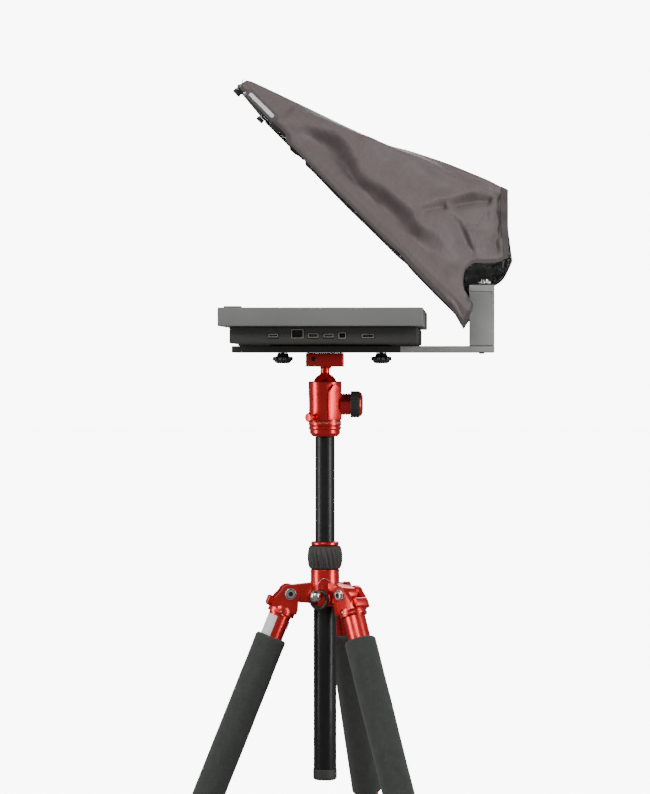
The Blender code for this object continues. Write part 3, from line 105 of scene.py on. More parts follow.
class Graph:
    """A material's node tree, built by short calls."""

    def __init__(self, name: str) -> None:
        """Makes the material and its Principled shader.

        Args:
            name: the material's name.
        """
        self.material = bpy.data.materials.new(name)
        self.material.use_nodes = True
        self.nodes = self.material.node_tree.nodes
        self.links = self.material.node_tree.links
        self.shader = self.nodes["Principled BSDF"]
        self.object_space = self.add("ShaderNodeTexCoord").outputs["Object"]

    def add(self, kind: str, **settings: object) -> bpy.types.Node:
        """Adds a node and sets its properties.

        Args:
            kind: the node's type name.
            settings: properties of the node.

        Returns:
            The node.
        """
        node = self.nodes.new(kind)
        for key, value in settings.items():
            setattr(node, key, value)
        return node

    def feed(self, node: bpy.types.Node, socket: str, value: object) -> None:
        """Sets a socket to a value, or links an output to it."""
        if isinstance(value, bpy.types.NodeSocket):
            self.links.new(value, node.inputs[socket])
        else:
            node.inputs[socket].default_value = value

    def set(self, **sockets: object) -> None:
        """Feeds the shader's own sockets, named with underscores for spaces."""
        for key, value in sockets.items():
            self.feed(self.shader, key.replace("_", " "), value)

    def stretched(
        self, scale: Sequence[float], coords: Optional[bpy.types.NodeSocket] = None
    ) -> bpy.types.NodeSocket:
        """Coordinates scaled by axis.

        Args:
            scale: one factor for each axis.
            coords: the coordinates, or None for the object's.

        Returns:
            The scaled coordinates.
        """
        mapping = self.add("ShaderNodeMapping")
        self.feed(mapping, "Vector", coords or self.object_space)
        mapping.inputs["Scale"].default_value = scale
        return mapping.outputs["Vector"]

    def noise(
        self,
        scale: float,
        detail: float = 3.0,
        roughness: float = 0.55,
        coords: Optional[bpy.types.NodeSocket] = None,
    ) -> bpy.types.NodeSocket:
        """Fractal noise from 0 to 1.

        Args:
            scale: features per metre.
            detail: octaves.
            roughness: how much each octave adds.
            coords: the coordinates, or None for the object's.

        Returns:
            The noise's factor.
        """
        node = self.add("ShaderNodeTexNoise")
        self.feed(node, "Vector", coords or self.object_space)
        node.inputs["Scale"].default_value = scale
        node.inputs["Detail"].default_value = detail
        node.inputs["Roughness"].default_value = roughness
        return node.outputs["Fac"]

    def cells(self, scale: float, coords: Optional[bpy.types.NodeSocket] = None) -> bpy.types.NodeSocket:
        """Distance to the nearest of many random points, for pits and pebbles."""
        node = self.add("ShaderNodeTexVoronoi")
        self.feed(node, "Vector", coords or self.object_space)
        node.inputs["Scale"].default_value = scale
        return node.outputs["Distance"]

    def span(self, value: bpy.types.NodeSocket, low: float, high: float, a: float = 0.0, b: float = 1.0):
        """Maps a value from one range to another, clamped.

        Args:
            value: what is mapped.
            low: the start of the range it comes from.
            high: the end of that range.
            a: the start of the range it goes to.
            b: the end of that range.

        Returns:
            The mapped value.
        """
        node = self.add("ShaderNodeMapRange")
        for socket, number in zip(("From Min", "From Max", "To Min", "To Max"), (low, high, a, b)):
            node.inputs[socket].default_value = number
        self.feed(node, "Value", value)
        return node.outputs["Result"]

    def maths(self, operation: str, a: object, b: object = 0.0) -> bpy.types.NodeSocket:
        """A Math node's result."""
        node = self.add("ShaderNodeMath", operation=operation)
        for i, value in enumerate((a, b)):
            if isinstance(value, bpy.types.NodeSocket):
                self.links.new(value, node.inputs[i])
            else:
                node.inputs[i].default_value = value
        return node.outputs[0]

    def blend(self, factor: bpy.types.NodeSocket, first: Sequence[float], second: Sequence[float]):
        """Mixes two colours.

        Args:
            factor: 0 gives the first colour and 1 the second.
            first: red, green and blue.
            second: red, green and blue.

        Returns:
            The mixed colour.
        """
        node = self.add("ShaderNodeMix", data_type="RGBA")
        self.links.new(factor, node.inputs[0])
        for socket, colour in ((node.inputs[6], first), (node.inputs[7], second)):
            if isinstance(colour, bpy.types.NodeSocket):
                self.links.new(colour, socket)
            else:
                socket.default_value = (*colour, 1.0)
        return node.outputs[2]

    def bump(self, height: bpy.types.NodeSocket, depth: float, strength: float = 1.0, under: object = None):
        """Turns a height from 0 to 1 into a normal.

        Args:
            height: the height.
            depth: how many metres a height of 1 is.
            strength: the node's strength.
            under: a normal that this one adds to.

        Returns:
            The normal.
        """
        node = self.add("ShaderNodeBump")
        node.inputs["Strength"].default_value = strength
        node.inputs["Distance"].default_value = depth
        self.feed(node, "Height", height)
        if under is not None:
            self.feed(node, "Normal", under)
        return node.outputs["Normal"]

    def edges(self, width: float) -> bpy.types.NodeSocket:
        """1 at the solid's sharp edges and 0 on its flats.

        Args:
            width: the width of the band along an edge, in metres.

        Returns:
            The mask.
        """
        rounded = self.add("ShaderNodeBevel", samples=4)
        rounded.inputs["Radius"].default_value = width
        flat = self.add("ShaderNodeNewGeometry")
        dot = self.add("ShaderNodeVectorMath", operation="DOT_PRODUCT")
        self.links.new(rounded.outputs["Normal"], dot.inputs[0])
        self.links.new(flat.outputs["Normal"], dot.inputs[1])
        return self.span(dot.outputs["Value"], 0.98, 0.86)


@dataclass(frozen=True)
class Finish:
    """A surface finish. Each kind paints its own material."""

    name: str
    slot: str

    def paint(self, graph: Graph) -> None:
        """Fills the material's node tree."""
        raise NotImplementedError

    def material(self) -> bpy.types.Material:
        """The finish's material, made once."""
        made = bpy.data.materials.get(self.name)
        if made is None:
            graph = Graph(self.name)
            self.paint(graph)
            made = graph.material
        return made


@dataclass(frozen=True)
class Anodised(Finish):
    """Dyed, anodised aluminium, turned or milled."""

    colour: tuple[float, float, float] = (0.8, 0.034, 0.036)
    roughness: float = 0.28
    metallic: float = 0.85
    worn: tuple[float, float, float] = (0.9, 0.3, 0.29)

    def paint(self, graph: Graph) -> None:
        """Fine blasted grain, a slight drift of the dye, and brighter edges."""
        cloud = graph.noise(28.0, 2.0)
        grain = graph.noise(5200.0, 2.0, 0.7)
        deep = tuple(0.88 * c for c in self.colour)
        dyed = graph.blend(graph.span(cloud, 0.3, 0.7), deep, self.colour)
        patchy = graph.span(graph.noise(160.0, 3.0), 0.35, 0.7, 0.1, 0.75)
        rub = graph.maths("MULTIPLY", graph.edges(0.5 * MM), patchy)
        graph.set(
            Base_Color=graph.blend(rub, dyed, self.worn),
            Metallic=self.metallic,
            Roughness=graph.span(graph.noise(95.0, 4.0), 0.25, 0.75, self.roughness * 0.85, self.roughness * 1.25),
            Normal=graph.bump(grain, 0.003 * MM),
            Coat_Weight=0.16,
            Coat_Roughness=0.16,
        )


@dataclass(frozen=True)
class PowderCoat(Finish):
    """Metal with a baked coat, its edges rubbed a little brighter."""

    colour: tuple[float, float, float] = (0.2, 0.2, 0.195)
    roughness: float = 0.5
    metallic: float = 0.25
    grain: Grain = Grain.FINE
    worn: tuple[float, float, float] = (0.5, 0.5, 0.49)

    def paint(self, graph: Graph) -> None:
        """The coat's own texture over a slight colour drift, with rubbed edges."""
        if self.grain is Grain.BRUSHED:
            texture = graph.noise(900.0, 3.0, 0.6, graph.stretched((1.0, 0.02, 1.0)))
            depth = 0.03 * MM
        else:
            texture = graph.noise(1500.0, 3.0, 0.65)
            depth = 0.06 * MM
        drift = graph.span(graph.noise(14.0, 3.0), 0.3, 0.7)
        coat = graph.blend(drift, tuple(0.88 * c for c in self.colour), self.colour)
        patchy = graph.span(graph.noise(120.0, 4.0), 0.45, 0.75, 0.0, 0.7)
        rub = graph.maths("MULTIPLY", graph.edges(0.6 * MM), patchy)
        graph.set(
            Base_Color=graph.blend(rub, coat, self.worn),
            Metallic=self.metallic,
            Roughness=graph.span(texture, 0.2, 0.8, self.roughness * 0.85, self.roughness * 1.15),
            Normal=graph.bump(texture, depth),
        )


@dataclass(frozen=True)
class Plastic(Finish):
    """Injection-moulded plastic."""

    colour: tuple[float, float, float] = (0.045, 0.045, 0.043)
    roughness: float = 0.55
    grain: Grain = Grain.LEATHERY

    def paint(self, graph: Graph) -> None:
        """A spark-eroded grain, and paler colour along the sharp edges."""
        if self.grain is Grain.LEATHERY:
            texture = graph.cells(1300.0)
            depth = 0.09 * MM
        elif self.grain is Grain.BRUSHED:
            texture = graph.noise(1100.0, 4.0, 0.6, graph.stretched((0.03, 0.03, 1.0)))
            depth = 0.04 * MM
        else:
            texture = graph.noise(2400.0, 2.0, 0.6)
            depth = 0.03 * MM
        drift = graph.span(graph.noise(11.0, 4.0), 0.3, 0.75)
        body = graph.blend(drift, self.colour, tuple(min(1.0, 1.18 * c) for c in self.colour))
        pale = tuple(min(1.0, 1.8 * c + 0.02) for c in self.colour)
        graph.set(
            Base_Color=graph.blend(graph.maths("MULTIPLY", graph.edges(0.5 * MM), 0.5), body, pale),
            Roughness=graph.span(texture, 0.0, 0.8, self.roughness * 0.88, self.roughness * 1.12),
            Normal=graph.bump(texture, depth),
            Specular_IOR_Level=0.45,
        )


@dataclass(frozen=True)
class Rubber(Finish):
    """Matt rubber, bloomed a little grey in patches."""

    colour: tuple[float, float, float] = (0.034, 0.034, 0.032)
    roughness: float = 0.6

    def paint(self, graph: Graph) -> None:
        """A fine mould grain and a dusty bloom."""
        grain = graph.noise(1900.0, 3.0, 0.7)
        bloom = graph.span(graph.noise(45.0, 4.0, 0.65), 0.4, 0.8, 0.0, 0.6)
        graph.set(
            Base_Color=graph.blend(bloom, self.colour, tuple(2.0 * c for c in self.colour)),
            Roughness=graph.span(grain, 0.2, 0.8, self.roughness * 0.9, self.roughness * 1.1),
            Normal=graph.bump(grain, 0.05 * MM),
            Specular_IOR_Level=0.35,
        )


@dataclass(frozen=True)
class Foam(Finish):
    """Closed-cell foam tube with small pores."""

    colour: tuple[float, float, float] = (0.034, 0.037, 0.034)

    def paint(self, graph: Graph) -> None:
        """Pores of two sizes, the larger ones painted darker as the shade in their pits, and the paler scuffs of
        handling.
        """
        pores = graph.span(graph.cells(620.0), 0.0, 0.35)
        pits = graph.span(graph.cells(1700.0), 0.0, 0.45)
        scuff = graph.span(graph.noise(90.0, 6.0, 0.7), 0.35, 0.8, 0.0, 0.45)
        skin = graph.blend(scuff, self.colour, tuple(2.1 * c for c in self.colour))
        first = graph.bump(pits, 0.09 * MM)
        graph.set(
            # Painted shade: the larger pores' pits are coloured darker.
            Base_Color=graph.blend(pores, tuple(0.55 * c for c in self.colour), skin),
            Roughness=0.93,
            Normal=graph.bump(pores, 0.16 * MM, 1.0, first),
            Sheen_Weight=0.12,
            Sheen_Roughness=0.5,
        )


@dataclass(frozen=True)
class Steel(Finish):
    """Bright turned or plated steel."""

    colour: tuple[float, float, float] = (0.74, 0.73, 0.71)
    roughness: float = 0.2

    def paint(self, graph: Graph) -> None:
        """Turning marks and a light haze."""
        marks = graph.noise(1600.0, 2.0, 0.5, graph.stretched((0.12, 0.12, 1.0)))
        graph.set(
            Base_Color=graph.blend(graph.noise(60.0, 4.0), self.colour, tuple(0.82 * c for c in self.colour)),
            Metallic=1.0,
            Roughness=graph.span(marks, 0.25, 0.75, self.roughness * 0.7, self.roughness * 1.5),
            Normal=graph.bump(marks, 0.01 * MM),
        )


@dataclass(frozen=True)
class HoodCloth(Finish):
    """Coated nylon taffeta: a plain weave with a soft, slightly purple sheen."""

    colour: tuple[float, float, float] = (0.136, 0.11, 0.109)
    lining: tuple[float, float, float] = (0.02, 0.019, 0.018)
    threads: float = 1500.0

    def paint(self, graph: Graph) -> None:
        """Warp and weft from the cloth's own UV map, slubs, and a dark coating inside."""
        uv = graph.add("ShaderNodeUVMap", uv_map="weave").outputs["UV"]
        split = graph.add("ShaderNodeSeparateXYZ")
        graph.feed(split, "Vector", uv)
        warp = graph.maths("SINE", graph.maths("MULTIPLY", split.outputs["X"], self.threads * math.tau))
        weft = graph.maths("SINE", graph.maths("MULTIPLY", split.outputs["Y"], self.threads * math.tau))
        weave = graph.span(graph.maths("MULTIPLY", warp, weft), -1.0, 1.0)
        slub = graph.noise(120.0, 3.0, 0.6, graph.stretched((0.15, 1.6, 1.0), uv))
        cross = graph.noise(120.0, 3.0, 0.6, graph.stretched((1.6, 0.15, 1.0), uv))
        crumple = graph.noise(55.0, 5.0, 0.62)
        drift = graph.span(graph.maths("ADD", slub, cross), 0.7, 1.3)
        face = graph.blend(drift, tuple(0.9 * c for c in self.colour), tuple(1.08 * c for c in self.colour))
        outside = graph.add("ShaderNodeAttribute", attribute_name="outside").outputs["Fac"]
        fine = graph.bump(weave, 0.05 * MM, 0.8)
        graph.set(
            Base_Color=graph.blend(outside, self.lining, face),
            Roughness=graph.span(crumple, 0.3, 0.7, 0.5, 0.66),
            Normal=graph.bump(crumple, 0.9 * MM, 0.55, fine),
            Sheen_Weight=0.2,
            Sheen_Roughness=0.4,
            Sheen_Tint=(0.86, 0.8, 0.84, 1.0),
            Specular_IOR_Level=0.4,
        )


@dataclass(frozen=True)
class Webbing(Finish):
    """Bound tape and thread."""

    colour: tuple[float, float, float] = (0.085, 0.072, 0.071)

    def paint(self, graph: Graph) -> None:
        """Fine cross ribs and a little fuzz."""
        ribs = graph.noise(1400.0, 2.0, 0.5)
        graph.set(
            Base_Color=graph.blend(ribs, tuple(0.75 * c for c in self.colour), tuple(1.25 * c for c in self.colour)),
            Roughness=0.85,
            Normal=graph.bump(ribs, 0.12 * MM),
            Sheen_Weight=0.2,
            Sheen_Roughness=0.4,
        )


@dataclass(frozen=True)
class HalfMirror(Finish):
    """Half-silvered glass."""

    colour: tuple[float, float, float] = (0.86, 0.9, 0.9)

    def paint(self, graph: Graph) -> None:
        """Clear glass with a thin metal coat and a trace of dust."""
        dust = graph.span(graph.noise(190.0, 5.0, 0.7), 0.5, 0.85, 0.0, 0.05)
        graph.set(
            Base_Color=self.colour + (1.0,),
            Metallic=0.28,
            Roughness=dust,
            Transmission_Weight=1.0,
            IOR=1.5,
        )


@dataclass(frozen=True)
class Screen(Finish):
    """A liquid-crystal panel, switched off, behind its polariser."""

    colour: tuple[float, float, float] = (0.006, 0.006, 0.008)

    def paint(self, graph: Graph) -> None:
        """A fine anti-glare haze over a very dark cell."""
        haze = graph.noise(4200.0, 1.0, 0.5)
        graph.set(
            Base_Color=graph.blend(graph.noise(9.0, 2.0), self.colour, tuple(1.6 * c for c in self.colour)),
            Roughness=graph.span(haze, 0.3, 0.7, 0.16, 0.24),
            Normal=graph.bump(haze, 0.004 * MM),
            Coat_Weight=0.6,
            Coat_Roughness=0.08,
        )


@dataclass(frozen=True)
class Card(Finish):
    """A printed or woven label, left blank."""

    colour: tuple[float, float, float] = (0.78, 0.78, 0.76)
    roughness: float = 0.45

    def paint(self, graph: Graph) -> None:
        """Paper-like mottling."""
        mottle = graph.noise(300.0, 4.0, 0.6)
        graph.set(
            Base_Color=graph.blend(graph.span(mottle, 0.3, 0.8), self.colour, tuple(0.85 * c for c in self.colour)),
            Roughness=self.roughness,
            Normal=graph.bump(mottle, 0.02 * MM),
        )


@dataclass(frozen=True)
class Board(Finish):
    """A circuit board's green mask."""

    colour: tuple[float, float, float] = (0.004, 0.013, 0.008)

    def paint(self, graph: Graph) -> None:
        """Faint tracks under the mask."""
        tracks = graph.span(graph.cells(420.0, graph.stretched((1.0, 0.3, 1.0))), 0.2, 0.24)
        graph.set(
            Base_Color=graph.blend(tracks, self.colour, tuple(1.9 * c for c in self.colour)),
            Roughness=graph.span(tracks, 0.0, 1.0, 0.32, 0.42),
            Normal=graph.bump(tracks, 0.03 * MM),
        )


RED = Anodised("red_anodised_metal", "red_anodised")
BLACK = Anodised(
    "black_anodised_metal", "black_anodised", colour=(0.012, 0.012, 0.012), roughness=0.42, metallic=0.5,
    worn=(0.12, 0.12, 0.12),
)
GREY = PowderCoat("grey_coated_metal", "grey_painted_metal", colour=(0.45, 0.45, 0.44))
# Painted light: a paler copy of the grey coat, in the same grey paint's slot, that gives the upright cap the
# brightness of the light falling on it.
LIT_GREY_COPY = PowderCoat("grey_coated_metal_painted_light", "grey_painted_metal", colour=(0.62, 0.62, 0.61))
DARK_COAT = PowderCoat("dark_coated_metal", "black_anodised", colour=(0.035, 0.034, 0.033), worn=(0.2, 0.2, 0.2))
SHELL = Plastic("dark_shell_plastic", "dark_plastic", colour=(0.036, 0.036, 0.033))
BEZEL = Plastic("grey_bezel_plastic", "grey_plastic", colour=(0.17, 0.17, 0.166), roughness=0.42, grain=Grain.BRUSHED)
KNOB = Plastic("black_knob_plastic", "black_anodised", colour=(0.02, 0.02, 0.02), roughness=0.3, grain=Grain.FINE)
RUBBER = Rubber("black_grip_rubber", "black_rubber")
FOAM = Foam("grey_leg_foam", "grey_foam")
STEEL = Steel("bright_turned_steel", "bright_steel")
PORT_SHELL = PowderCoat(
    "tinned_port_shell", "bright_steel", colour=(0.34, 0.31, 0.27), roughness=0.38, worn=(0.5, 0.47, 0.42),
)
GOLD = Steel("gilt_contacts", "bright_steel", colour=(0.83, 0.62, 0.28), roughness=0.25)
CLOTH = HoodCloth("hood_taffeta", "hood_cloth")
TAPE = Webbing("hood_binding", "hood_cloth", colour=(0.078, 0.064, 0.063))
THREAD = Webbing("hood_thread", "hood_cloth", colour=(0.16, 0.145, 0.145))
PATCH_WEAVE = Card("patch_weave", "hood_cloth", colour=(0.1, 0.088, 0.088), roughness=0.8)
PATCH_THREAD = Card("pale_patch_thread", "hood_cloth", colour=(0.8, 0.8, 0.79), roughness=0.7)
LABEL = Card("blank_leg_label", "hood_cloth")
SCALE_FILL = Card("pan_scale_fill", "bright_steel", roughness=0.6)
GLASS = HalfMirror("half_silvered_glass", "half_mirror")
SCREEN = Screen("dark_screen", "screen_glass")
BOARD = Board("green_board", "circuit_board")


# ---------------------------------------------------------------- shapes

JOINTS = {joint["name"]: joint for joint in frame["joints"]}


def joint_place(name: str, along: Optional[Sequence[float]] = None) -> Matrix:
    """The frame on a joint: its origin on the axis and its Z along the axis.

    Args:
        name: the joint's name.
        along: what Z follows instead of the axis.

    Returns:
        The matrix from the local frame to the row frame.
    """
    joint = JOINTS[name]
    turn = Vector(along or joint["axis"]).to_track_quat("Z", "Y").to_matrix().to_4x4()
    return Matrix.Translation(joint["pos_m"]) @ turn


def upright_place(node: str) -> Matrix:
    """The frame with level axes at the middle of a solid's box, on the floor."""
    low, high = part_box(node)
    middle = (low + high) / 2
    return Matrix.Translation((middle.x, middle.y, 0.0))


def extent(node: str, place: Matrix) -> tuple[Vector, Vector]:
    """A solid's lowest and highest corners in a local frame.

    Args:
        node: the solid's name.
        place: the local frame.

    Returns:
        The two corners.
    """
    back = place.inverted()
    points = np.array([back @ v.co for v in frame["nodes"][node].data.vertices])
    return Vector(points.min(0)), Vector(points.max(0))


def rounded(profile: Profile, radius: float, steps: int = 4, closed: bool = False) -> list[tuple[float, float]]:
    """Rounds the corners of a line of flat points.

    Args:
        profile: the corners.
        radius: how far from a corner its curve starts, less on short runs.
        steps: points in each curve.
        closed: whether the line returns to its start.

    Returns:
        The rounded line.
    """
    points = [Vector(p) for p in profile]
    count = len(points)
    line = []
    for i, corner in enumerate(points):
        if not closed and i in (0, count - 1):
            line.append(tuple(corner))
            continue
        before, after = points[i - 1] - corner, points[(i + 1) % count] - corner
        reach = min(radius, 0.45 * before.length, 0.45 * after.length)
        start, end = corner + before.normalized() * reach, corner + after.normalized() * reach
        for k in range(steps + 1):
            t = k / steps
            line.append(tuple((1 - t) ** 2 * start + 2 * t * (1 - t) * corner + t * t * end))
    return line


def shaded(shape: bmesh.types.BMesh, place: Optional[Matrix] = None, angle: float = 36.0) -> bpy.types.Mesh:
    """Turns a closed shape into a smooth-shaded mesh with its faces outwards.

    Args:
        shape: the shape, freed here.
        place: where it goes.
        angle: edges sharper than this stay sharp, in degrees.

    Returns:
        The mesh.
    """
    bmesh.ops.remove_doubles(shape, verts=shape.verts, dist=1e-7)
    if place is not None:
        bmesh.ops.transform(shape, matrix=place, verts=shape.verts)
    bmesh.ops.recalc_face_normals(shape, faces=shape.faces)
    mesh = bpy.data.meshes.new("shape")
    shape.to_mesh(mesh)
    shape.free()
    mesh.shade_smooth()
    mesh.set_sharp_from_angle(angle=math.radians(angle))
    return mesh


def lathe(profile: Profile, place: Optional[Matrix] = None, segments: int = 96) -> bpy.types.Mesh:
    """Turns a profile of (radius, height) points round Z.

    Args:
        profile: the points; off the axis at both ends it closes into a ring.
        place: where the turned piece goes.
        segments: steps round the axis.

    Returns:
        The mesh.
    """
    shape = bmesh.new()
    rings = []
    for radius, height in profile:
        if radius < 1e-7:
            rings.append([shape.verts.new((0.0, 0.0, height))] * segments)
            continue
        angles = [math.tau * i / segments for i in range(segments)]
        rings.append([shape.verts.new((radius * math.cos(a), radius * math.sin(a), height)) for a in angles])
    pairs = list(zip(rings, rings[1:]))
    if profile[0][0] > 1e-7 and profile[-1][0] > 1e-7:
        pairs.append((rings[-1], rings[0]))
    for lower, upper in pairs:
        for i in range(segments):
            j = (i + 1) % segments
            corners = list(dict.fromkeys((lower[i], lower[j], upper[j], upper[i])))
            if len(corners) > 2:
                shape.faces.new(corners)
    return shaded(shape, place)


def block(low: Sequence[float], high: Sequence[float], edge: float = 0.4 * MM, place: Optional[Matrix] = None):
    """A box between two corners with rounded edges.

    Args:
        low: the lowest corner.
        high: the highest corner.
        edge: the width of the rounding.
        place: where it goes.

    Returns:
        The mesh.
    """
    shape = bmesh.new()
    low, high = Vector(low), Vector(high)
    size = Matrix.Diagonal((*(high - low), 1.0))
    bmesh.ops.create_cube(shape, size=1.0, matrix=Matrix.Translation((low + high) / 2) @ size)
    bmesh.ops.bevel(shape, geom=shape.edges[:], offset=edge, segments=3, profile=0.5, affect="EDGES")
    return shaded(shape, place)


def plate(outline: Profile, low: float, high: float, edge: float, place: Optional[Matrix] = None) -> bpy.types.Mesh:
    """A flat outline pushed out along Z, its rims rounded.

    Args:
        outline: the outline's points, X and Y.
        low: the height of one face.
        high: the height of the other.
        edge: the width of the rounding.
        place: where it goes.

    Returns:
        The mesh.
    """
    shape = bmesh.new()
    face = shape.faces.new([shape.verts.new((x, y, low)) for x, y in outline])
    pushed = bmesh.ops.extrude_face_region(shape, geom=[face])["geom"]
    moved = [v for v in pushed if isinstance(v, bmesh.types.BMVert)]
    bmesh.ops.translate(shape, vec=(0, 0, high - low), verts=moved)
    rims = [e for e in shape.edges if abs(e.verts[0].co.z - e.verts[1].co.z) < 1e-9]
    bmesh.ops.bevel(shape, geom=rims, offset=edge, segments=3, profile=0.5, affect="EDGES")
    return shaded(shape, place)


def joined(*meshes: bpy.types.Mesh) -> bpy.types.Mesh:
    """Several meshes as one."""
    shape = bmesh.new()
    for mesh in meshes:
        shape.from_mesh(mesh)
    return shaded(shape)


def tube(points: Sequence[Vector], radius: float, sides: int = 12) -> bpy.types.Mesh:
    """A round wire along a smooth line, with closed ends.

    Args:
        points: the points that the line passes.
        radius: the wire's radius.
        sides: faces round it.

    Returns:
        The mesh.
    """
    line = smooth_line(points, 12)
    shape = bmesh.new()
    rings = []
    side = Vector((0, 0, 1)).cross(line[1] - line[0]).normalized()
    for i, spot in enumerate(line):
        along = (line[min(i + 1, len(line) - 1)] - line[max(i - 1, 0)]).normalized()
        side = (side - along * side.dot(along)).normalized()
        other = along.cross(side)
        turn = [math.tau * k / sides for k in range(sides)]
        rings.append([shape.verts.new(spot + radius * (math.cos(a) * side + math.sin(a) * other)) for a in turn])
    for lower, upper in zip(rings, rings[1:]):
        for k in range(sides):
            m = (k + 1) % sides
            shape.faces.new((lower[k], lower[m], upper[m], upper[k]))
    shape.faces.new(rings[0][::-1])
    shape.faces.new(rings[-1])
    return shaded(shape, angle=60.0)


def smooth_line(points: Sequence[Sequence[float]], steps: int) -> list[Vector]:
    """A curve through points.

    Args:
        points: what it passes, of any dimension.
        steps: the number of steps between two points.

    Returns:
        The curve's points.
    """
    spots = [Vector(p) for p in points]
    ends = [2 * spots[0] - spots[1], *spots, 2 * spots[-1] - spots[-2]]
    line = []
    for a, b, c, d in zip(ends, ends[1:], ends[2:], ends[3:]):
        for k in range(steps):
            t = k / steps
            line.append(
                0.5 * (2 * b + (c - a) * t + (2 * a - 5 * b + 4 * c - d) * t**2 + (3 * b - a - 3 * c + d) * t**3)
            )
    return line + [spots[-1]]


def linked(mesh: bpy.types.Mesh, name: str) -> bpy.types.Object:
    """A new object in the scene."""
    made = bpy.data.objects.new(name, mesh)
    bpy.context.scene.collection.objects.link(made)
    return made


def settled(worker: bpy.types.Object) -> bpy.types.Mesh:
    """The mesh that an object's modifiers make. The object is removed."""
    graph = bpy.context.evaluated_depsgraph_get()
    graph.update()
    mesh = bpy.data.meshes.new_from_object(worker.evaluated_get(graph))
    bpy.data.objects.remove(worker)
    return mesh


def piece(name: str, mesh: bpy.types.Mesh, finish: Finish, body: str, *nodes: str) -> bpy.types.Object:
    """Puts a finished mesh on the object.

    Args:
        name: the piece's name.
        mesh: its mesh, in place.
        finish: its finish.
        body: the body that it moves with.
        nodes: the solids that it stands for.

    Returns:
        The piece.
    """
    mesh.name = name
    mesh.materials.clear()
    mesh.materials.append(finish.material())
    made = linked(mesh, name)
    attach(made, body)
    if nodes:
        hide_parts(*nodes)
    LOG.info("%s: %d faces on %s", name, len(mesh.polygons), body)
    return made


def refined(node: str, finish: Finish, width: float = 0.5 * MM, segments: int = 3, angle: float = 30.0):
    """Stands a finely rounded copy in a solid's place.

    Args:
        node: the solid.
        finish: the copy's finish.
        width: the rounding's width.
        segments: steps in the rounding.
        angle: edges blunter than this aren't rounded, in degrees.

    Returns:
        The piece.
    """
    source = frame["nodes"][node]
    shape = bmesh.new()
    shape.from_mesh(source.data)
    bmesh.ops.remove_doubles(shape, verts=shape.verts, dist=2e-6)
    bmesh.ops.dissolve_limit(shape, angle_limit=math.radians(0.8), verts=shape.verts, edges=shape.edges)
    mesh = bpy.data.meshes.new(node)
    shape.to_mesh(mesh)
    shape.free()
    worker = linked(mesh, "worker")
    bevel = worker.modifiers.new("rounding", "BEVEL")
    bevel.width = width
    bevel.segments = segments
    bevel.limit_method = "ANGLE"
    bevel.angle_limit = math.radians(angle)
    mesh = settled(worker)
    mesh.shade_smooth()
    mesh.set_sharp_from_angle(angle=math.radians(40.0))
    return piece(f"{node}_fine", mesh, finish, source["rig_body"], node)


# ---------------------------------------------------------------- geometry nodes


class Tree:
    """A tree of geometry nodes, built by short calls."""

    def __init__(self, name: str, source: bool = False) -> None:
        """Makes the tree.

        Args:
            name: its name.
            source: whether it takes the geometry of the object that it is on.
        """
        self.group = bpy.data.node_groups.new(name, "GeometryNodeTree")
        self.face = self.group.interface
        self.face.new_socket(name="Geometry", in_out="OUTPUT", socket_type="NodeSocketGeometry")
        if source:
            self.face.new_socket(name="Geometry", in_out="INPUT", socket_type="NodeSocketGeometry")
        self.inputs: dict[str, tuple[str, object]] = {}
        self.entry = self.group.nodes.new("NodeGroupInput")

    def socket(self, name: str, kind: str, default: object = None) -> bpy.types.NodeSocket:
        """Adds a named input.

        Args:
            name: the input's name.
            kind: Float, Int, Object, Material or Vector.
            default: its value where none is given.

        Returns:
            The input, as an output of the entry node.
        """
        made = self.face.new_socket(name=name, in_out="INPUT", socket_type=f"NodeSocket{kind}")
        self.inputs[name] = (made.identifier, default)
        return self.entry.outputs[name]

    def add(self, kind: str, feeds: Optional[dict] = None, **settings: object) -> bpy.types.Node:
        """Adds a node.

        Args:
            kind: its type name.
            feeds: what goes into each input, by the input's name or number.
            settings: its properties.

        Returns:
            The node.
        """
        node = self.group.nodes.new(kind)
        for key, value in settings.items():
            setattr(node, key, value)
        for key, value in (feeds or {}).items():
            if isinstance(value, bpy.types.NodeSocket):
                self.group.links.new(value, node.inputs[key])
            else:
                node.inputs[key].default_value = value
        return node

    def maths(self, operation: str, a: object, b: object = 0.0) -> bpy.types.NodeSocket:
        """A Math node's result."""
        return self.add("ShaderNodeMath", {0: a, 1: b}, operation=operation).outputs[0]

    def close(self, geometry: bpy.types.NodeSocket) -> None:
        """Ends the tree: instances made real, and dressed in the Material input."""
        material = self.socket("Material", "Material")
        real = self.add("GeometryNodeRealizeInstances", {"Geometry": geometry})
        dressed = self.add("GeometryNodeSetMaterial", {"Geometry": real.outputs[0], "Material": material})
        self.add("NodeGroupOutput", {0: dressed.outputs[0]})

    def grow(self, mesh: Optional[bpy.types.Mesh] = None, place: Optional[Matrix] = None, **values: object):
        """Runs the tree.

        Args:
            mesh: the mesh that it starts from.
            place: where the result goes.
            values: the inputs, named with underscores for spaces.

        Returns:
            The mesh that the tree makes.
        """
        worker = linked(mesh or bpy.data.meshes.new("empty"), "worker")
        modifier = worker.modifiers.new("tree", "NODES")
        modifier.node_group = self.group
        for name, (identifier, default) in self.inputs.items():
            value = values.get(name.replace(" ", "_"), default)
            if value is not None:
                modifier[identifier] = value
        made = settled(worker)
        if place is not None:
            made.transform(place)
        for given in values.values():
            if isinstance(given, bpy.types.Object):
                bpy.data.objects.remove(given)
        return made


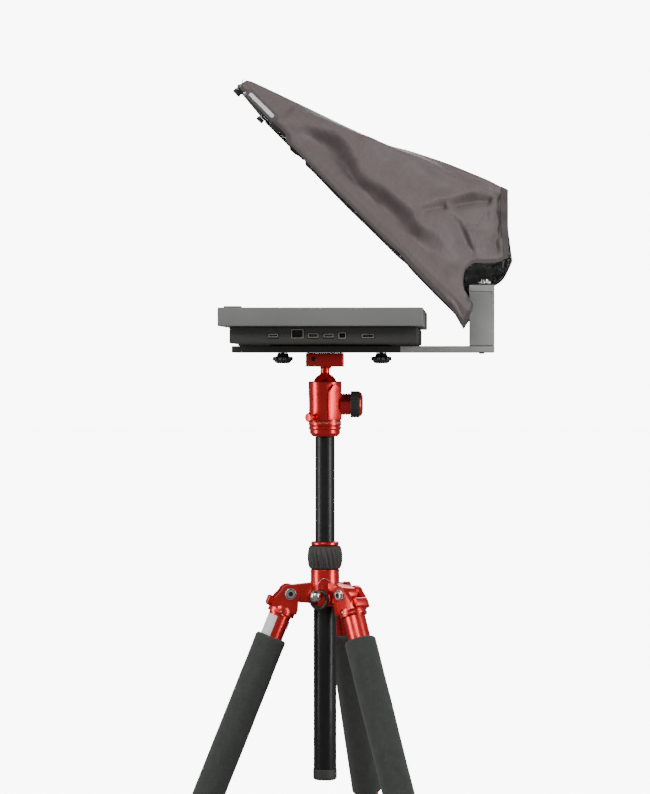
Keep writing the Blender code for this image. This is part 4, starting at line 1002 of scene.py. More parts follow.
def ribs_tree() -> Tree:
    """Presses evenly spaced grooves into the outside of a turned piece, between two heights."""
    tree = Tree("grip_ribs", source=True)
    count = tree.socket("Ribs", "Int", 24)
    depth = tree.socket("Depth", "Float", 0.8 * MM)
    low = tree.socket("Low", "Float")
    high = tree.socket("High", "Float")
    fade = tree.socket("Fade", "Float", 2 * MM)
    inside = tree.socket("Inside", "Float")
    flat = tree.socket("Flatness", "Float", 1.0)
    twist = tree.socket("Twist", "Float", 0.0)
    spot = tree.add("GeometryNodeInputPosition").outputs[0]
    parts = tree.add("ShaderNodeSeparateXYZ", {0: spot})
    x, y, z = parts.outputs
    angle = tree.maths("ADD", tree.maths("ARCTAN2", y, x), tree.maths("MULTIPLY", z, twist))
    wave = tree.maths("COSINE", tree.maths("MULTIPLY", angle, count))
    groove = tree.maths("POWER", tree.maths("MULTIPLY_ADD", wave, 0.5), flat)
    groove.node.inputs[0].links[0].from_node.inputs[2].default_value = 0.5
    reach = tree.maths("MINIMUM", tree.maths("SUBTRACT", z, low), tree.maths("SUBTRACT", high, z))
    band = tree.add("ShaderNodeMapRange", {"Value": reach, "From Max": fade}, interpolation_type="SMOOTHSTEP")
    push = tree.maths("MULTIPLY", tree.maths("MULTIPLY", groove, depth), band.outputs["Result"])
    out = tree.add("ShaderNodeCombineXYZ", {0: x, 1: y})
    outward = tree.add("ShaderNodeVectorMath", {0: out.outputs[0]}, operation="NORMALIZE").outputs[0]
    back = tree.maths("MULTIPLY", push, -1.0)
    offset = tree.add("ShaderNodeVectorMath", {0: outward, "Scale": back}, operation="SCALE").outputs[0]
    radius = tree.add("ShaderNodeVectorMath", {0: out.outputs[0]}, operation="LENGTH").outputs["Value"]
    outer = tree.add("FunctionNodeCompare", {0: radius, 1: inside}, data_type="FLOAT", operation="GREATER_THAN")
    moved = tree.add(
        "GeometryNodeSetPosition",
        {"Geometry": tree.entry.outputs["Geometry"], "Selection": outer.outputs[0], "Offset": offset},
    )
    tree.close(moved.outputs[0])
    return tree


def ring_tree() -> Tree:
    """Stands copies of a part round Z, each turned to face outwards."""
    tree = Tree("parts_round_axis")
    part = tree.socket("Part", "Object")
    count = tree.socket("Count", "Int", 12)
    radius = tree.socket("Radius", "Float", 10 * MM)
    height = tree.socket("Height", "Float", 0.0)
    circle = tree.add("GeometryNodeMeshCircle", {"Vertices": count, "Radius": radius})
    lift = tree.add("ShaderNodeCombineXYZ", {2: height})
    raised = tree.add("GeometryNodeSetPosition", {"Geometry": circle.outputs[0], "Offset": lift.outputs[0]})
    spot = tree.add("GeometryNodeInputPosition").outputs[0]
    flat = tree.add("ShaderNodeVectorMath", {0: spot, 1: (1.0, 1.0, 0.0)}, operation="MULTIPLY").outputs[0]
    turn = tree.add("FunctionNodeAlignRotationToVector", {"Vector": flat}, axis="X", pivot_axis="Z")
    shown = tree.add("GeometryNodeObjectInfo", {"Object": part})
    copies = tree.add(
        "GeometryNodeInstanceOnPoints",
        {"Points": raised.outputs[0], "Instance": shown.outputs["Geometry"], "Rotation": turn.outputs[0]},
    )
    tree.close(copies.outputs[0])
    return tree


def points_tree() -> Tree:
    """Stands a copy of a part on each point of a mesh, with a small random spin round its own Z."""
    tree = Tree("parts_on_points", source=True)
    part = tree.socket("Part", "Object")
    spin = tree.socket("Spin", "Float", 0.0)
    seed = tree.socket("Seed", "Int", 7)
    turned = tree.add("FunctionNodeRandomValue", {"Max": spin, "Seed": seed}, data_type="FLOAT")
    turn = tree.add("ShaderNodeCombineXYZ", {2: turned.outputs[1]})
    shown = tree.add("GeometryNodeObjectInfo", {"Object": part})
    copies = tree.add(
        "GeometryNodeInstanceOnPoints",
        {
            "Points": tree.entry.outputs["Geometry"],
            "Instance": shown.outputs["Geometry"],
            "Rotation": turn.outputs[0],
        },
    )
    tree.close(copies.outputs[0])
    return tree


def path_tree() -> Tree:
    """Lays copies of a part at even steps along a line, each pointing its Z along it."""
    tree = Tree("parts_along_path", source=True)
    part = tree.socket("Part", "Object")
    step = tree.socket("Step", "Float", 3 * MM)
    wander = tree.socket("Wander", "Float", 0.06)
    seed = tree.socket("Seed", "Int", 11)
    line = tree.add("GeometryNodeMeshToCurve", {"Mesh": tree.entry.outputs["Geometry"]})
    spots = tree.add("GeometryNodeCurveToPoints", {"Curve": line.outputs[0], "Length": step}, mode="LENGTH")
    shown = tree.add("GeometryNodeObjectInfo", {"Object": part})
    copies = tree.add(
        "GeometryNodeInstanceOnPoints",
        {
            "Points": spots.outputs["Points"],
            "Instance": shown.outputs["Geometry"],
            "Rotation": spots.outputs["Rotation"],
        },
    )
    low = tree.add("ShaderNodeCombineXYZ", {0: tree.maths("MULTIPLY", wander, -1.0)})
    high = tree.add("ShaderNodeCombineXYZ", {0: wander})
    lean = tree.add(
        "FunctionNodeRandomValue",
        {0: low.outputs[0], 1: high.outputs[0], "Seed": seed},
        data_type="FLOAT_VECTOR",
    )
    tilted = tree.add("GeometryNodeRotateInstances", {"Instances": copies.outputs[0], "Rotation": lean.outputs[0]})
    tree.close(tilted.outputs[0])
    return tree


RIBS = ribs_tree()
ROUND_AXIS = ring_tree()
ON_POINTS = points_tree()
ALONG_PATH = path_tree()


def line_mesh(points: Sequence[Vector]) -> bpy.types.Mesh:
    """A mesh of edges through points."""
    mesh = bpy.data.meshes.new("line")
    mesh.from_pydata([tuple(p) for p in points], [(i, i + 1) for i in range(len(points) - 1)], [])
    return mesh


def dots_mesh(points: Sequence[Sequence[float]]) -> bpy.types.Mesh:
    """A mesh of loose points."""
    mesh = bpy.data.meshes.new("dots")
    mesh.from_pydata([tuple(p) for p in points], [], [])
    return mesh


def socket_screw(radius: float, height: float) -> bpy.types.Mesh:
    """A cap screw's head with a hexagonal socket, standing on Z = 0.

    Args:
        radius: the head's radius.
        height: the head's height.

    Returns:
        The mesh.
    """
    bore = 0.5 * radius
    shape = bmesh.new()
    sides = 24
    heights = [(radius, 0.0), (radius, 0.72 * height), (0.93 * radius, 0.92 * height), (0.8 * radius, height)]
    rings = []
    for r, h in heights:
        turn = [math.tau * i / sides for i in range(sides)]
        rings.append([shape.verts.new((r * math.cos(a), r * math.sin(a), h)) for a in turn])
    for depth in (height, 0.35 * height):
        ring = []
        for i in range(sides):
            angle = math.tau * i / sides
            flat = bore * math.cos(math.pi / 6) / math.cos((angle % (math.pi / 3)) - math.pi / 6)
            ring.append(shape.verts.new((flat * math.cos(angle), flat * math.sin(angle), depth)))
        rings.append(ring)
    for lower, upper in zip(rings, rings[1:]):
        for i in range(sides):
            j = (i + 1) % sides
            shape.faces.new((lower[i], lower[j], upper[j], upper[i]))
    shape.faces.new(rings[0][::-1])
    shape.faces.new(rings[-1])
    return shaded(shape)


# ---------------------------------------------------------------- tripod


@dataclass
class Column:
    """The centre column, its sleeve and its twist lock."""

    grip_ribs: int = 22
    grip_swell: float = 1.0 * MM
    place: Matrix = field(default_factory=lambda: upright_place("centre_column"))

    def build(self) -> None:
        """Turns the tubes and the two-part lock."""
        for node, body, edge in (("centre_column", "column", 0.4 * MM), ("column_sleeve", "tripod", 0.5 * MM)):
            low, high = extent(node, self.place)
            tube_profile = rounded([(high.x - 1.8 * MM, low.z), (high.x, low.z), (high.x, high.z),
                                    (high.x - 1.8 * MM, high.z)], edge, 3, closed=True)
            piece(f"{node}_tube", lathe(tube_profile, self.place, 128), BLACK, body, node)
        low, high = extent("sleeve_end_cap", self.place)
        plug = extent("column_sleeve", self.place)[1].x - 2.2 * MM
        rim = extent("column_sleeve", self.place)[0].z - 0.3 * MM
        cap = rounded([(0.0, low.z), (high.x - 1.5 * MM, low.z), (high.x, low.z + 2 * MM), (high.x, rim),
                       (plug, rim), (plug, high.z), (0.0, high.z)], 1.2 * MM)
        piece("sleeve_end_cap_turned", lathe(cap, self.place), RUBBER, "tripod", "sleeve_end_cap")
        self.build_lock()

    def build_lock(self) -> None:
        """Turns the barrel-shaped rubber grip, presses its ribs, and turns the red ring over it."""
        bore = extent("centre_column", self.place)[1].x + 0.25 * MM
        low, high = extent("collar_grip", self.place)
        outer = high.x - 0.4 * MM
        waist = outer - 2.6 * MM
        steps = 26
        side = []
        for i in range(steps + 1):
            t = i / steps
            swell = math.sin(math.pi * t) ** 0.55
            side.append((waist + (outer + self.grip_swell - waist) * swell, low.z + (high.z - low.z) * t))
        profile = [(bore, low.z), *side, (bore, high.z)]
        ribbed = RIBS.grow(
            lathe(profile, segments=self.grip_ribs * 10),
            self.place,
            Ribs=self.grip_ribs,
            Depth=1.5 * MM,
            Low=low.z + 0.8 * MM,
            High=high.z - 1.2 * MM,
            Fade=3.5 * MM,
            Inside=bore + 1 * MM,
            Flatness=1.7,
            Twist=9.0,
            Material=RUBBER.material(),
        )
        piece("collar_grip_ribbed", ribbed, RUBBER, "column_lock", "collar_grip")
        low, high = extent("collar_ring", self.place)
        ring = rounded([(bore, low.z), (high.x - 1 * MM, low.z), (high.x, low.z + 1.2 * MM),
                        (high.x, high.z - 1 * MM),
                        (high.x - 1.2 * MM, high.z), (bore, high.z)], 0.7 * MM, 4, closed=True)
        piece("collar_ring_turned", lathe(ring, self.place), RED, "column_lock", "collar_ring")


@dataclass
class Spider:
    """The hub that carries the legs, with its ring, stud and tether."""

    tether_radius: float = 0.45 * MM
    place: Matrix = field(default_factory=lambda: upright_place("centre_column"))

    def build(self) -> None:
        """Rounds the hub, turns the stud and ring, and bends the tether."""
        refined("spider", RED, 0.9 * MM, 4, 35.0)
        stud = joint_place("ring_swing")
        refined("ring_stud", STEEL, 0.3 * MM)
        low, high = extent("accessory_ring", stud)
        wire = 0.5 * (high.z - low.z)
        self.build_ring(wire)
        self.build_tether()
        self.build_scale()

    def build_ring(self, wire: float) -> None:
        """The black split ring that hangs from the stud."""
        low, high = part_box("accessory_ring")
        middle = (low + high) / 2
        radius = (high.z - low.z) / 2 - wire
        facing = Vector(JOINTS["ring_swing"]["axis"])
        place = Matrix.Translation(middle) @ facing.to_track_quat("Z", "Y").to_matrix().to_4x4()
        steps = 16
        section = [
            (radius + wire * math.cos(math.tau * i / steps), 0.9 * wire * math.sin(math.tau * i / steps))
            for i in range(steps)
        ]
        piece("accessory_ring_bent", lathe(section, place, 96), KNOB, "hanging_ring", "accessory_ring")

    def build_tether(self) -> None:
        """The thin steel wire from the stud over to the right leg's bolt."""
        low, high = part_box("ring_stud")
        start = Vector(((low.x + high.x) / 2 - 1 * MM, low.y + 9 * MM, high.z - 1.2 * MM))
        bolt_low, bolt_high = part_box("leg_3_hinge_bolt")
        end = Vector((bolt_low.x + 2.0 * MM, bolt_low.y + 6.5 * MM, bolt_high.z + 3.5 * MM))
        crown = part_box("spider")[1].z - 11 * MM
        hub = extent("spider", self.place)
        front = self.place.translation.y - 18.6 * MM
        points = [
            start,
            Vector((start.x + 3 * MM, front - 2.0 * MM, start.z + 8 * MM)),
            Vector((start.x + 11 * MM, front - 1.2 * MM, crown)),
            Vector((start.x + 20 * MM, front - 0.2 * MM, crown - 5 * MM)),
            Vector((end.x - 3 * MM, front - 4 * MM, end.z + 2 * MM)),
            end,
        ]
        piece("ring_tether", tube(points, self.tether_radius), STEEL, "tripod")

    def build_scale(self) -> None:
        """Fine turned grooves round the hub's collar."""
        high = extent("spider", self.place)[1]
        radius = 18.0 * MM
        groove = 0.22 * MM
        for height in (high.z - 3.2 * MM, high.z - 4.4 * MM):
            ring = rounded([(radius - 0.3 * MM, height), (radius + 0.12 * MM, height + groove),
                            (radius - 0.3 * MM, height + 2 * groove)], 0.05 * MM, 2, closed=True)
            piece(f"hub_line_{round(height * 10000)}", lathe(ring, self.place), RED, "tripod")


@dataclass
class Leg:
    """One folding leg, from its casting down to its foot."""

    number: int
    lock_ribs: int = 18
    foam_swell: float = 0.35 * MM
    label: bool = False

    def __post_init__(self) -> None:
        """Finds the leg's own frame: Z up the leg, Y along its bolt."""
        fold, slide = JOINTS[f"leg_{self.number}_fold"], JOINTS[f"leg_{self.number}_extend"]
        up = -Vector(slide["axis"])
        across = Vector(fold["axis"])
        outward = across.cross(up)
        turn = Matrix((outward, across, up)).transposed().to_4x4()
        self.place = Matrix.Translation(fold["pos_m"]) @ turn
        self.name = f"leg_{self.number}"

    def build(self) -> None:
        """Builds the leg from the top down."""
        refined(f"{self.name}_casting", RED, 0.7 * MM, 4, 32.0)
        refined(f"{self.name}_angle_tab", RED, 0.5 * MM)
        self.build_bolt()
        self.build_pins()
        self.build_upper_tube()
        self.build_foam()
        self.build_lock()
        self.build_lower_tube()
        self.build_foot()
        if self.label:
            self.build_label()

    def build_bolt(self) -> None:
        """The hinge bolt: a plain shank and two domed heads with hexagonal sockets, with black plugs and rings as
        painted shade in the sockets and on the heads.
        """
        low, high = extent(f"{self.name}_hinge_bolt", self.place)
        head = (high.x - low.x) / 2
        reach = 3.0 * MM
        shank = lathe(rounded([(0.0, low.y + reach), (4 * MM, low.y + reach), (4 * MM, high.y - reach),
                               (0.0, high.y - reach)], 0.1 * MM),
                      self.place @ Matrix.Rotation(math.radians(-90), 4, "X"), 48)
        heads, socket_shade = [], []
        for side in (-1, 1):
            foot = (low.y + reach) if side < 0 else (high.y - reach)
            turn = Matrix.Translation((0, foot, 0)) @ Matrix.Rotation(math.radians(-90 * side), 4, "X")
            cap = socket_screw(head, reach)
            cap.transform(self.place @ turn)
            rim = lathe([(head + 0.7 * MM, 0.0), (head + 0.7 * MM, 0.5 * MM), (head - 0.6 * MM, 0.9 * MM),
                         (head - 0.6 * MM, 0.0)], self.place @ turn, 48)
            heads += [cap, rim]
            # Painted shade: a black plug deep in each socket, and a black ring on each head's chamfer as the shade of
            # a groove.
            bore = 0.55 * head
            socket_shade.append(lathe([(0.0, 0.3 * reach), (bore, 0.3 * reach), (bore, 0.55 * reach), (0.0, 0.55 * reach)],
                               self.place @ turn, 6))
            groove = [(0.86 * head, reach * 0.5), (0.93 * head, reach * 0.5), (0.93 * head, reach * 0.99),
                      (0.86 * head, reach * 1.02)]
            socket_shade.append(lathe(groove + groove[:1], self.place @ turn, 48))
        piece(f"{self.name}_bolt_turned", joined(shank, *heads), STEEL, "tripod", f"{self.name}_hinge_bolt")
        piece(f"{self.name}_bolt_wells", joined(*socket_shade), BLACK, "tripod")

    def build_pins(self) -> None:
        """The two small pressed pins low on each cheek of the casting."""
        low, high = extent(f"{self.name}_casting", self.place)
        pin = linked(lathe(rounded([(0.0, 0.5 * MM), (0.9 * MM, 0.35 * MM), (1.1 * MM, -0.6 * MM),
                                    (0.0, -0.6 * MM)], 0.3 * MM, 2), segments=16), "pin")
        meshes = []
        for side in (-1, 1):
            cheek = high.y if side > 0 else low.y
            spots = dots_mesh([(3.4 * MM, 0.0, 0.0), (0.2 * MM, 3.0 * MM, 0.0)])
            turn = Matrix.Translation((0, cheek, -25 * MM)) @ Matrix.Rotation(math.radians(-90 * side), 4, "X")
            spare = linked(pin.data.copy(), "pin")
            meshes.append(ON_POINTS.grow(spots, self.place @ turn, Part=spare, Material=STEEL.material()))
        bpy.data.objects.remove(pin)
        piece(f"{self.name}_pins", joined(*meshes), STEEL, self.name)

    def build_upper_tube(self) -> None:
        """The red upper tube."""
        low, high = extent(f"{self.name}_upper_tube", self.place)
        wall = 1.7 * MM
        profile = rounded([(high.x - wall, low.z), (high.x, low.z), (high.x, high.z), (high.x - wall, high.z)],
                          0.4 * MM, 3, closed=True)
        tube_mesh = lathe(profile, self.place, 128)
        piece(f"{self.name}_upper_tube_drawn", tube_mesh, RED, self.name, f"{self.name}_upper_tube")
        low = extent(f"{self.name}_casting", self.place)[0]
        lip = rounded([(high.x, low.z + 0.4 * MM), (high.x + 3.2 * MM, low.z + 0.4 * MM),
                       (high.x + 3.2 * MM, low.z + 3.0 * MM), (high.x, low.z + 3.0 * MM)], 0.9 * MM, 4, closed=True)
        piece(f"{self.name}_casting_lip", lathe(lip, self.place), RED, self.name)

    def build_foam(self) -> None:
        """The foam grip: soft rounded ends and a faint waviness."""
        low, high = extent(f"{self.name}_foam_grip", self.place)
        bore = extent(f"{self.name}_upper_tube", self.place)[1].x + 0.2 * MM
        outer = high.x
        end = 4.2 * MM
        steps, curve = 44, 6
        line = [(bore, low.z)]
        line += [
            (outer - end * 0.75 * (1 - math.sin(a)), low.z + end * (1 - math.cos(a)))
            for a in (math.pi / 2 * i / curve for i in range(curve + 1))
        ]
        for i in range(1, steps):
            t = i / steps
            swell = self.foam_swell * noise.noise(Vector((3.1 * self.number, 9.0 * t, 0.4)))
            line.append((outer + swell, low.z + end + (high.z - low.z - 2 * end) * t))
        line += [
            (outer - end * 0.75 * (1 - math.cos(a)), high.z - end * (1 - math.sin(a)))
            for a in (math.pi / 2 * i / curve for i in range(curve + 1))
        ]
        line.append((bore, high.z))
        mesh = lathe(line, None, 96)
        for vertex in mesh.vertices:
            if vertex.co.xy.length > bore + 1 * MM:
                spot = Vector((40 * vertex.co.x, 40 * vertex.co.y, 26 * vertex.co.z + 7 * self.number))
                vertex.co.xy *= 1 + 0.012 * noise.noise(spot)
        mesh.transform(self.place)
        piece(f"{self.name}_foam_sleeve", mesh, FOAM, self.name, f"{self.name}_foam_grip")

    def build_lock(self) -> None:
        """The ribbed rubber twist lock and its red cuff."""
        low, high = extent(f"{self.name}_twist_lock", self.place)
        bore = extent(f"{self.name}_lower_tube", self.place)[1].x + 0.25 * MM
        seat = extent(f"{self.name}_upper_tube", self.place)[1].x + 0.25 * MM
        ledge = extent(f"{self.name}_upper_tube", self.place)[0].z - 0.3 * MM
        outer = high.x - 0.2 * MM
        steps = 30
        side = []
        for i in range(steps + 1):
            t = i / steps
            taper = 2.6 * MM * (1 - t) ** 2.0 + 1.4 * MM * max(0.0, t - 0.92) / 0.08
            side.append((outer - taper, low.z + (high.z - low.z) * t))
        profile = [(bore, low.z), *side, (seat, high.z), (seat, ledge), (bore, ledge)]
        ribbed = RIBS.grow(
            lathe(profile, segments=self.lock_ribs * 8),
            self.place,
            Ribs=self.lock_ribs,
            Depth=1.1 * MM,
            Low=low.z + 2.5 * MM,
            High=high.z - 5 * MM,
            Fade=3 * MM,
            Inside=seat + 1.2 * MM,
            Flatness=1.6,
            Material=RUBBER.material(),
        )
        piece(f"{self.name}_lock_ribbed", ribbed, RUBBER, f"{self.name}_lock", f"{self.name}_twist_lock")
        cuff = rounded([(outer - 0.9 * MM, high.z - 3.4 * MM), (outer + 0.25 * MM, high.z - 3.4 * MM),
                        (outer + 0.25 * MM, high.z - 1.2 * MM), (outer - 0.9 * MM, high.z - 1.2 * MM)],
                       0.4 * MM, 3, closed=True)
        piece(f"{self.name}_lock_band", lathe(cuff, self.place), RED, f"{self.name}_lock")

    def build_lower_tube(self) -> None:
        """The black lower tube."""
        low, high = extent(f"{self.name}_lower_tube", self.place)
        profile = rounded([(high.x - 1.6 * MM, low.z), (high.x, low.z), (high.x, high.z),
                           (high.x - 1.6 * MM, high.z)],
                          0.4 * MM, 3, closed=True)
        mesh = lathe(profile, self.place)
        piece(f"{self.name}_lower_tube_drawn", mesh, BLACK, f"{self.name}_lower", f"{self.name}_lower_tube")

    def build_foot(self) -> None:
        """The rubber foot, rounded, and two rings near its top."""
        foot = refined(f"{self.name}_foot", RUBBER, 0.9 * MM, 4, 35.0)
        high = extent(f"{self.name}_foot", self.place)[1]
        tube_radius = extent(f"{self.name}_lower_tube", self.place)[1].x
        ring = []
        for i in range(2):
            height = high.z - (3.0 + 3.0 * i) * MM
            radius = tube_radius + 2.6 * MM
            ring.append(lathe(rounded([(tube_radius + 1.2 * MM, height - 0.8 * MM), (radius, height - 0.8 * MM),
                                       (radius, height + 0.8 * MM), (tube_radius + 1.2 * MM, height + 0.8 * MM)],
                                      0.5 * MM, 3, closed=True), self.place, 64))
        piece(f"{self.name}_foot_rings", joined(*ring), RUBBER, foot["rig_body"])

    def build_label(self) -> None:
        """A blank white label and a small grey tag, wrapped on the tube between the casting and the foam."""
        top = extent(f"{self.name}_casting", self.place)[0].z - 1.5 * MM
        low = extent(f"{self.name}_foam_grip", self.place)[1].z - 1.5 * MM
        radius = extent(f"{self.name}_upper_tube", self.place)[1].x
        label = self.wrapped(radius, radius + 0.18 * MM, 2, 72, low, top - 2 * MM)
        piece(f"{self.name}_label", label, LABEL, self.name)
        tag = self.wrapped(radius, radius + 0.9 * MM, 150, 178, top - 14 * MM, top - 4 * MM)
        piece(f"{self.name}_tag", tag, GREY, self.name)

    def wrapped(self, inner: float, outer: float, start: float, end: float, low: float, high: float):
        """A thin patch wrapped round the tube.

        Args:
            inner: its inner radius.
            outer: its outer radius.
            start: the angle where it starts, in degrees.
            end: the angle where it ends.
            low: its lower edge.
            high: its upper edge.

        Returns:
            The mesh, in place.
        """
        shape = bmesh.new()
        steps = 14
        loops = []
        for i in range(steps + 1):
            angle = math.radians(start + (end - start) * i / steps)
            x, y = math.cos(angle), math.sin(angle)
            corners = ((inner, low), (outer, low), (outer, high), (inner, high))
            loops.append([shape.verts.new((r * x, r * y, z)) for r, z in corners])
        for a, b in zip(loops, loops[1:]):
            for k in range(4):
                m = (k + 1) % 4
                shape.faces.new((a[k], a[m], b[m], b[k]))
        shape.faces.new(loops[0])
        shape.faces.new(loops[-1][::-1])
        return shaded(shape, self.place)


# ---------------------------------------------------------------- head


@dataclass
class BallHead:
    """The pan base, the ball in its housing, and the two lock knobs."""

    knob_ribs: int = 28
    neck_rings: int = 4
    facet_turn: float = math.radians(43)
    facet_half: float = 9.8 * MM
    facet_foot: float = 1.4 * MM
    facet_shoulder: float = 15 * MM
    facet_peak: float = 2.2 * MM
    facet_lift: float = 0.25 * MM
    place: Matrix = field(default_factory=lambda: upright_place("centre_column"))

    def build(self) -> None:
        """Builds the head from the pan base up."""
        refined("head_housing", RED, 0.6 * MM, 4, 38.0)
        refined("pan_base", RED, 0.45 * MM, 3, 38.0)
        self.build_facet()
        self.build_ticks()
        self.build_ball()
        self.build_ball_lock()
        self.build_pan_lock()

    def build_facet(self) -> None:
        """The flat boss on the housing's near right side, which ends in a pointed arch."""
        low, high = extent("head_housing", self.place)
        tangent = Vector((math.cos(self.facet_turn), math.sin(self.facet_turn), 0.0))
        up = Vector((0.0, 0.0, 1.0))
        place = self.place @ Matrix((tangent, up, tangent.cross(up))).transposed().to_4x4()
        foot = low.z + self.facet_foot
        shoulder, peak = high.z - self.facet_shoulder, high.z - self.facet_peak
        steps = 10
        arch = [(self.facet_half * (1 - (k / steps) ** 2.2), shoulder + (peak - shoulder) * k / steps)
                for k in range(steps)]
        left = [(-x, z) for x, z in reversed(arch)]
        outline = [(-self.facet_half, foot), (self.facet_half, foot), *arch, (0.0, peak), *left]
        flat = plate(outline, high.x - 5 * MM, high.x + self.facet_lift, 0.8 * MM, place)
        piece("head_facet", flat, RED, "ball_housing")

    def build_ticks(self) -> None:
        """The degree scale round the pan base: short raised marks, with longer ones every fifth."""
        high = extent("pan_base", self.place)[1]
        radius, top = high.x, high.z
        for name, count, tall in (("fine", 120, 1.4 * MM), ("long", 24, 2.3 * MM)):
            mark = linked(block((-0.25 * MM, -0.11 * MM, 0.0), (0.06 * MM, 0.11 * MM, tall), 0.03 * MM), "mark")
            ring = ROUND_AXIS.grow(None, self.place, Part=mark, Count=count, Radius=radius,
                                   Height=top - 3.4 * MM, Material=LABEL.material())
            piece(f"pan_scale_{name}", ring, SCALE_FILL, "column")

    def build_ball(self) -> None:
        """The ball and its stem."""
        place = joint_place("ball_tilt", (0, 0, 1))
        high = extent("ball_and_stem", place)[1]
        ball = high.x
        stem = 6.6 * MM
        neck = math.acos(stem / ball)
        steps = 40
        profile = [
            (ball * math.cos(a), ball * math.sin(a))
            for a in (-math.pi / 2 + (neck + math.pi / 2) * i / steps for i in range(steps + 1))
        ]
        profile[0] = (0.0, -ball)
        rise = ball * math.sin(neck)
        profile += rounded([(stem, rise), (stem * 0.86, rise + 1.5 * MM), (stem * 0.86, high.z - 1.6 * MM),
                            (stem * 1.05, high.z)], 0.9 * MM)[1:]
        profile.append((0.0, high.z))
        piece("ball_turned", lathe(profile, place, 128), RED, "clamp", "ball_and_stem")

    def build_ball_lock(self) -> None:
        """The big lock knob: a red core with turned rings, a ribbed rubber band and a domed red end."""
        place = joint_place("ball_lock_turn")
        low, high = extent("ball_lock_knob", place)
        grip_low, grip_high = extent("ball_lock_grip", place)
        core = grip_high.x - 2.3 * MM
        knob_radius = high.x
        shaft = 3.4 * MM
        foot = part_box("head_housing")[1].x - 1.6 * MM - place.translation.x
        neck = core - 0.6 * MM
        shoulder = grip_low.z - 0.2 * MM
        pitch = (shoulder - foot) / self.neck_rings
        rings = []
        for k in range(self.neck_rings):
            start = foot + pitch * k
            rings += [(neck, start), (neck, start + 0.6 * pitch), (neck - 0.9 * MM, start + 0.68 * pitch),
                      (neck - 0.9 * MM, start + 0.94 * pitch)]
        end = rounded(
            [(neck, shoulder), (core, shoulder), (core, grip_high.z + 0.1 * MM),
             (knob_radius - 0.3 * MM, grip_high.z + 0.1 * MM), (knob_radius - 0.9 * MM, high.z - 2.4 * MM),
             (knob_radius - 4.4 * MM, high.z), (0.0, high.z)],
            1.3 * MM,
        )
        turned = lathe([(0.0, low.z), (shaft, low.z), (shaft, foot), *rings, *end], place, 160)
        piece("ball_lock_core", turned, RED, "ball_lock", "ball_lock_knob")
        side = rounded([(core + 0.1 * MM, grip_low.z), (grip_high.x, grip_low.z), (grip_high.x, grip_high.z),
                        (core + 0.1 * MM, grip_high.z)], 1.1 * MM, 5, closed=True)
        dense = []
        for (r1, h1), (r2, h2) in zip(side, side[1:] + side[:1]):
            parts = max(1, int(abs(h2 - h1) / (0.9 * MM)))
            dense += [(r1 + (r2 - r1) * k / parts, h1 + (h2 - h1) * k / parts) for k in range(parts)]
        grip = RIBS.grow(
            lathe(dense, segments=self.knob_ribs * 8), place, Ribs=self.knob_ribs, Depth=0.7 * MM,
            Low=grip_low.z + 0.5 * MM, High=grip_high.z - 0.5 * MM, Fade=1.2 * MM, Inside=core + 1 * MM,
            Flatness=2.2, Material=RUBBER.material(),
        )
        piece("ball_lock_band", grip, RUBBER, "ball_lock", "ball_lock_grip")
        disc = rounded([(0.0, high.z + 0.15 * MM), (4.4 * MM, high.z + 0.15 * MM), (4.8 * MM, high.z - 0.5 * MM),
                        (0.0, high.z - 0.5 * MM)], 0.2 * MM)
        piece("ball_lock_button", lathe(disc, place), BLACK, "ball_lock")

    def build_pan_lock(self) -> None:
        """The small panning lock: a knurled disc on a thin neck."""
        place = joint_place("pan_lock_turn")
        low, high = extent("pan_lock_knob", place)
        radius = high.x
        foot = high.z - 5 * MM
        profile = rounded(
            [(0.0, low.z), (2.4 * MM, low.z), (2.4 * MM, foot - 4 * MM), (radius - 1.5 * MM, foot - 2.4 * MM),
             (radius - 1.5 * MM, foot), (radius, foot + 0.6 * MM), (radius, foot + 2.0 * MM),
             (radius, foot + 3.4 * MM),
             (radius - 0.9 * MM, high.z), (0.0, high.z)],
            0.5 * MM,
        )
        knob = RIBS.grow(
            lathe(profile, segments=160), place, Ribs=32, Depth=0.3 * MM, Low=foot + 0.3 * MM, High=high.z - 0.5 * MM,
            Fade=0.5 * MM, Inside=radius - 0.6 * MM, Material=RED.material(),
        )
        piece("pan_lock_knurled", knob, RED, "pan_lock", "pan_lock_knob")


@dataclass
class Clamp:
    """The dovetail clamp, its jaw and its knob."""

    def build(self) -> None:
        """Rounds the milled parts and turns the knob."""
        refined("clamp_body", RED, 0.6 * MM, 4)
        refined("clamp_jaw", RED, 0.6 * MM, 4)
        refined("quick_release_plate", BLACK, 0.4 * MM)
        self.build_knob()
        self.build_pin_holes()

    def build_knob(self) -> None:
        """The clamp's screw knob, with straight knurls."""
        place = joint_place("jaw_knob_turn")
        low, high = extent("clamp_knob", place)
        radius = high.x
        foot = extent("clamp_jaw", place)[1].z + 0.3 * MM
        rows = 8
        side = [(radius, foot + 1.2 * MM + (high.z - foot - 2.4 * MM) * k / rows) for k in range(rows + 1)]
        profile = [(0.0, low.z), (2.9 * MM, low.z), (2.9 * MM, foot), (radius - 1.4 * MM, foot), *side,
                   (radius - 1.3 * MM, high.z), (radius - 3.4 * MM, high.z - 0.8 * MM), (0.0, high.z - 0.8 * MM)]
        knob = RIBS.grow(
            lathe(profile, segments=192), place, Ribs=24, Depth=0.7 * MM, Low=foot + 0.6 * MM, High=high.z - 0.4 * MM,
            Fade=1.0 * MM, Inside=radius - 1.0 * MM, Flatness=1.5, Material=RED.material(),
        )
        piece("clamp_knob_knurled", knob, RED, "jaw_knob", "clamp_knob")

    def build_pin_holes(self) -> None:
        """The dark socket screw in the clamp's near side."""
        low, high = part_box("clamp_body")
        turn = Matrix.Rotation(math.radians(90), 4, "X")
        spot = Vector((low.x + 9.6 * MM, low.y + 0.1 * MM, (low.z + high.z) / 2 + 1.2 * MM))
        screw = socket_screw(3.0 * MM, 0.9 * MM)
        screw.transform(Matrix.Translation(spot) @ turn)
        piece("clamp_stop_screw", screw, BLACK, "clamp")


# ---------------------------------------------------------------- prompter


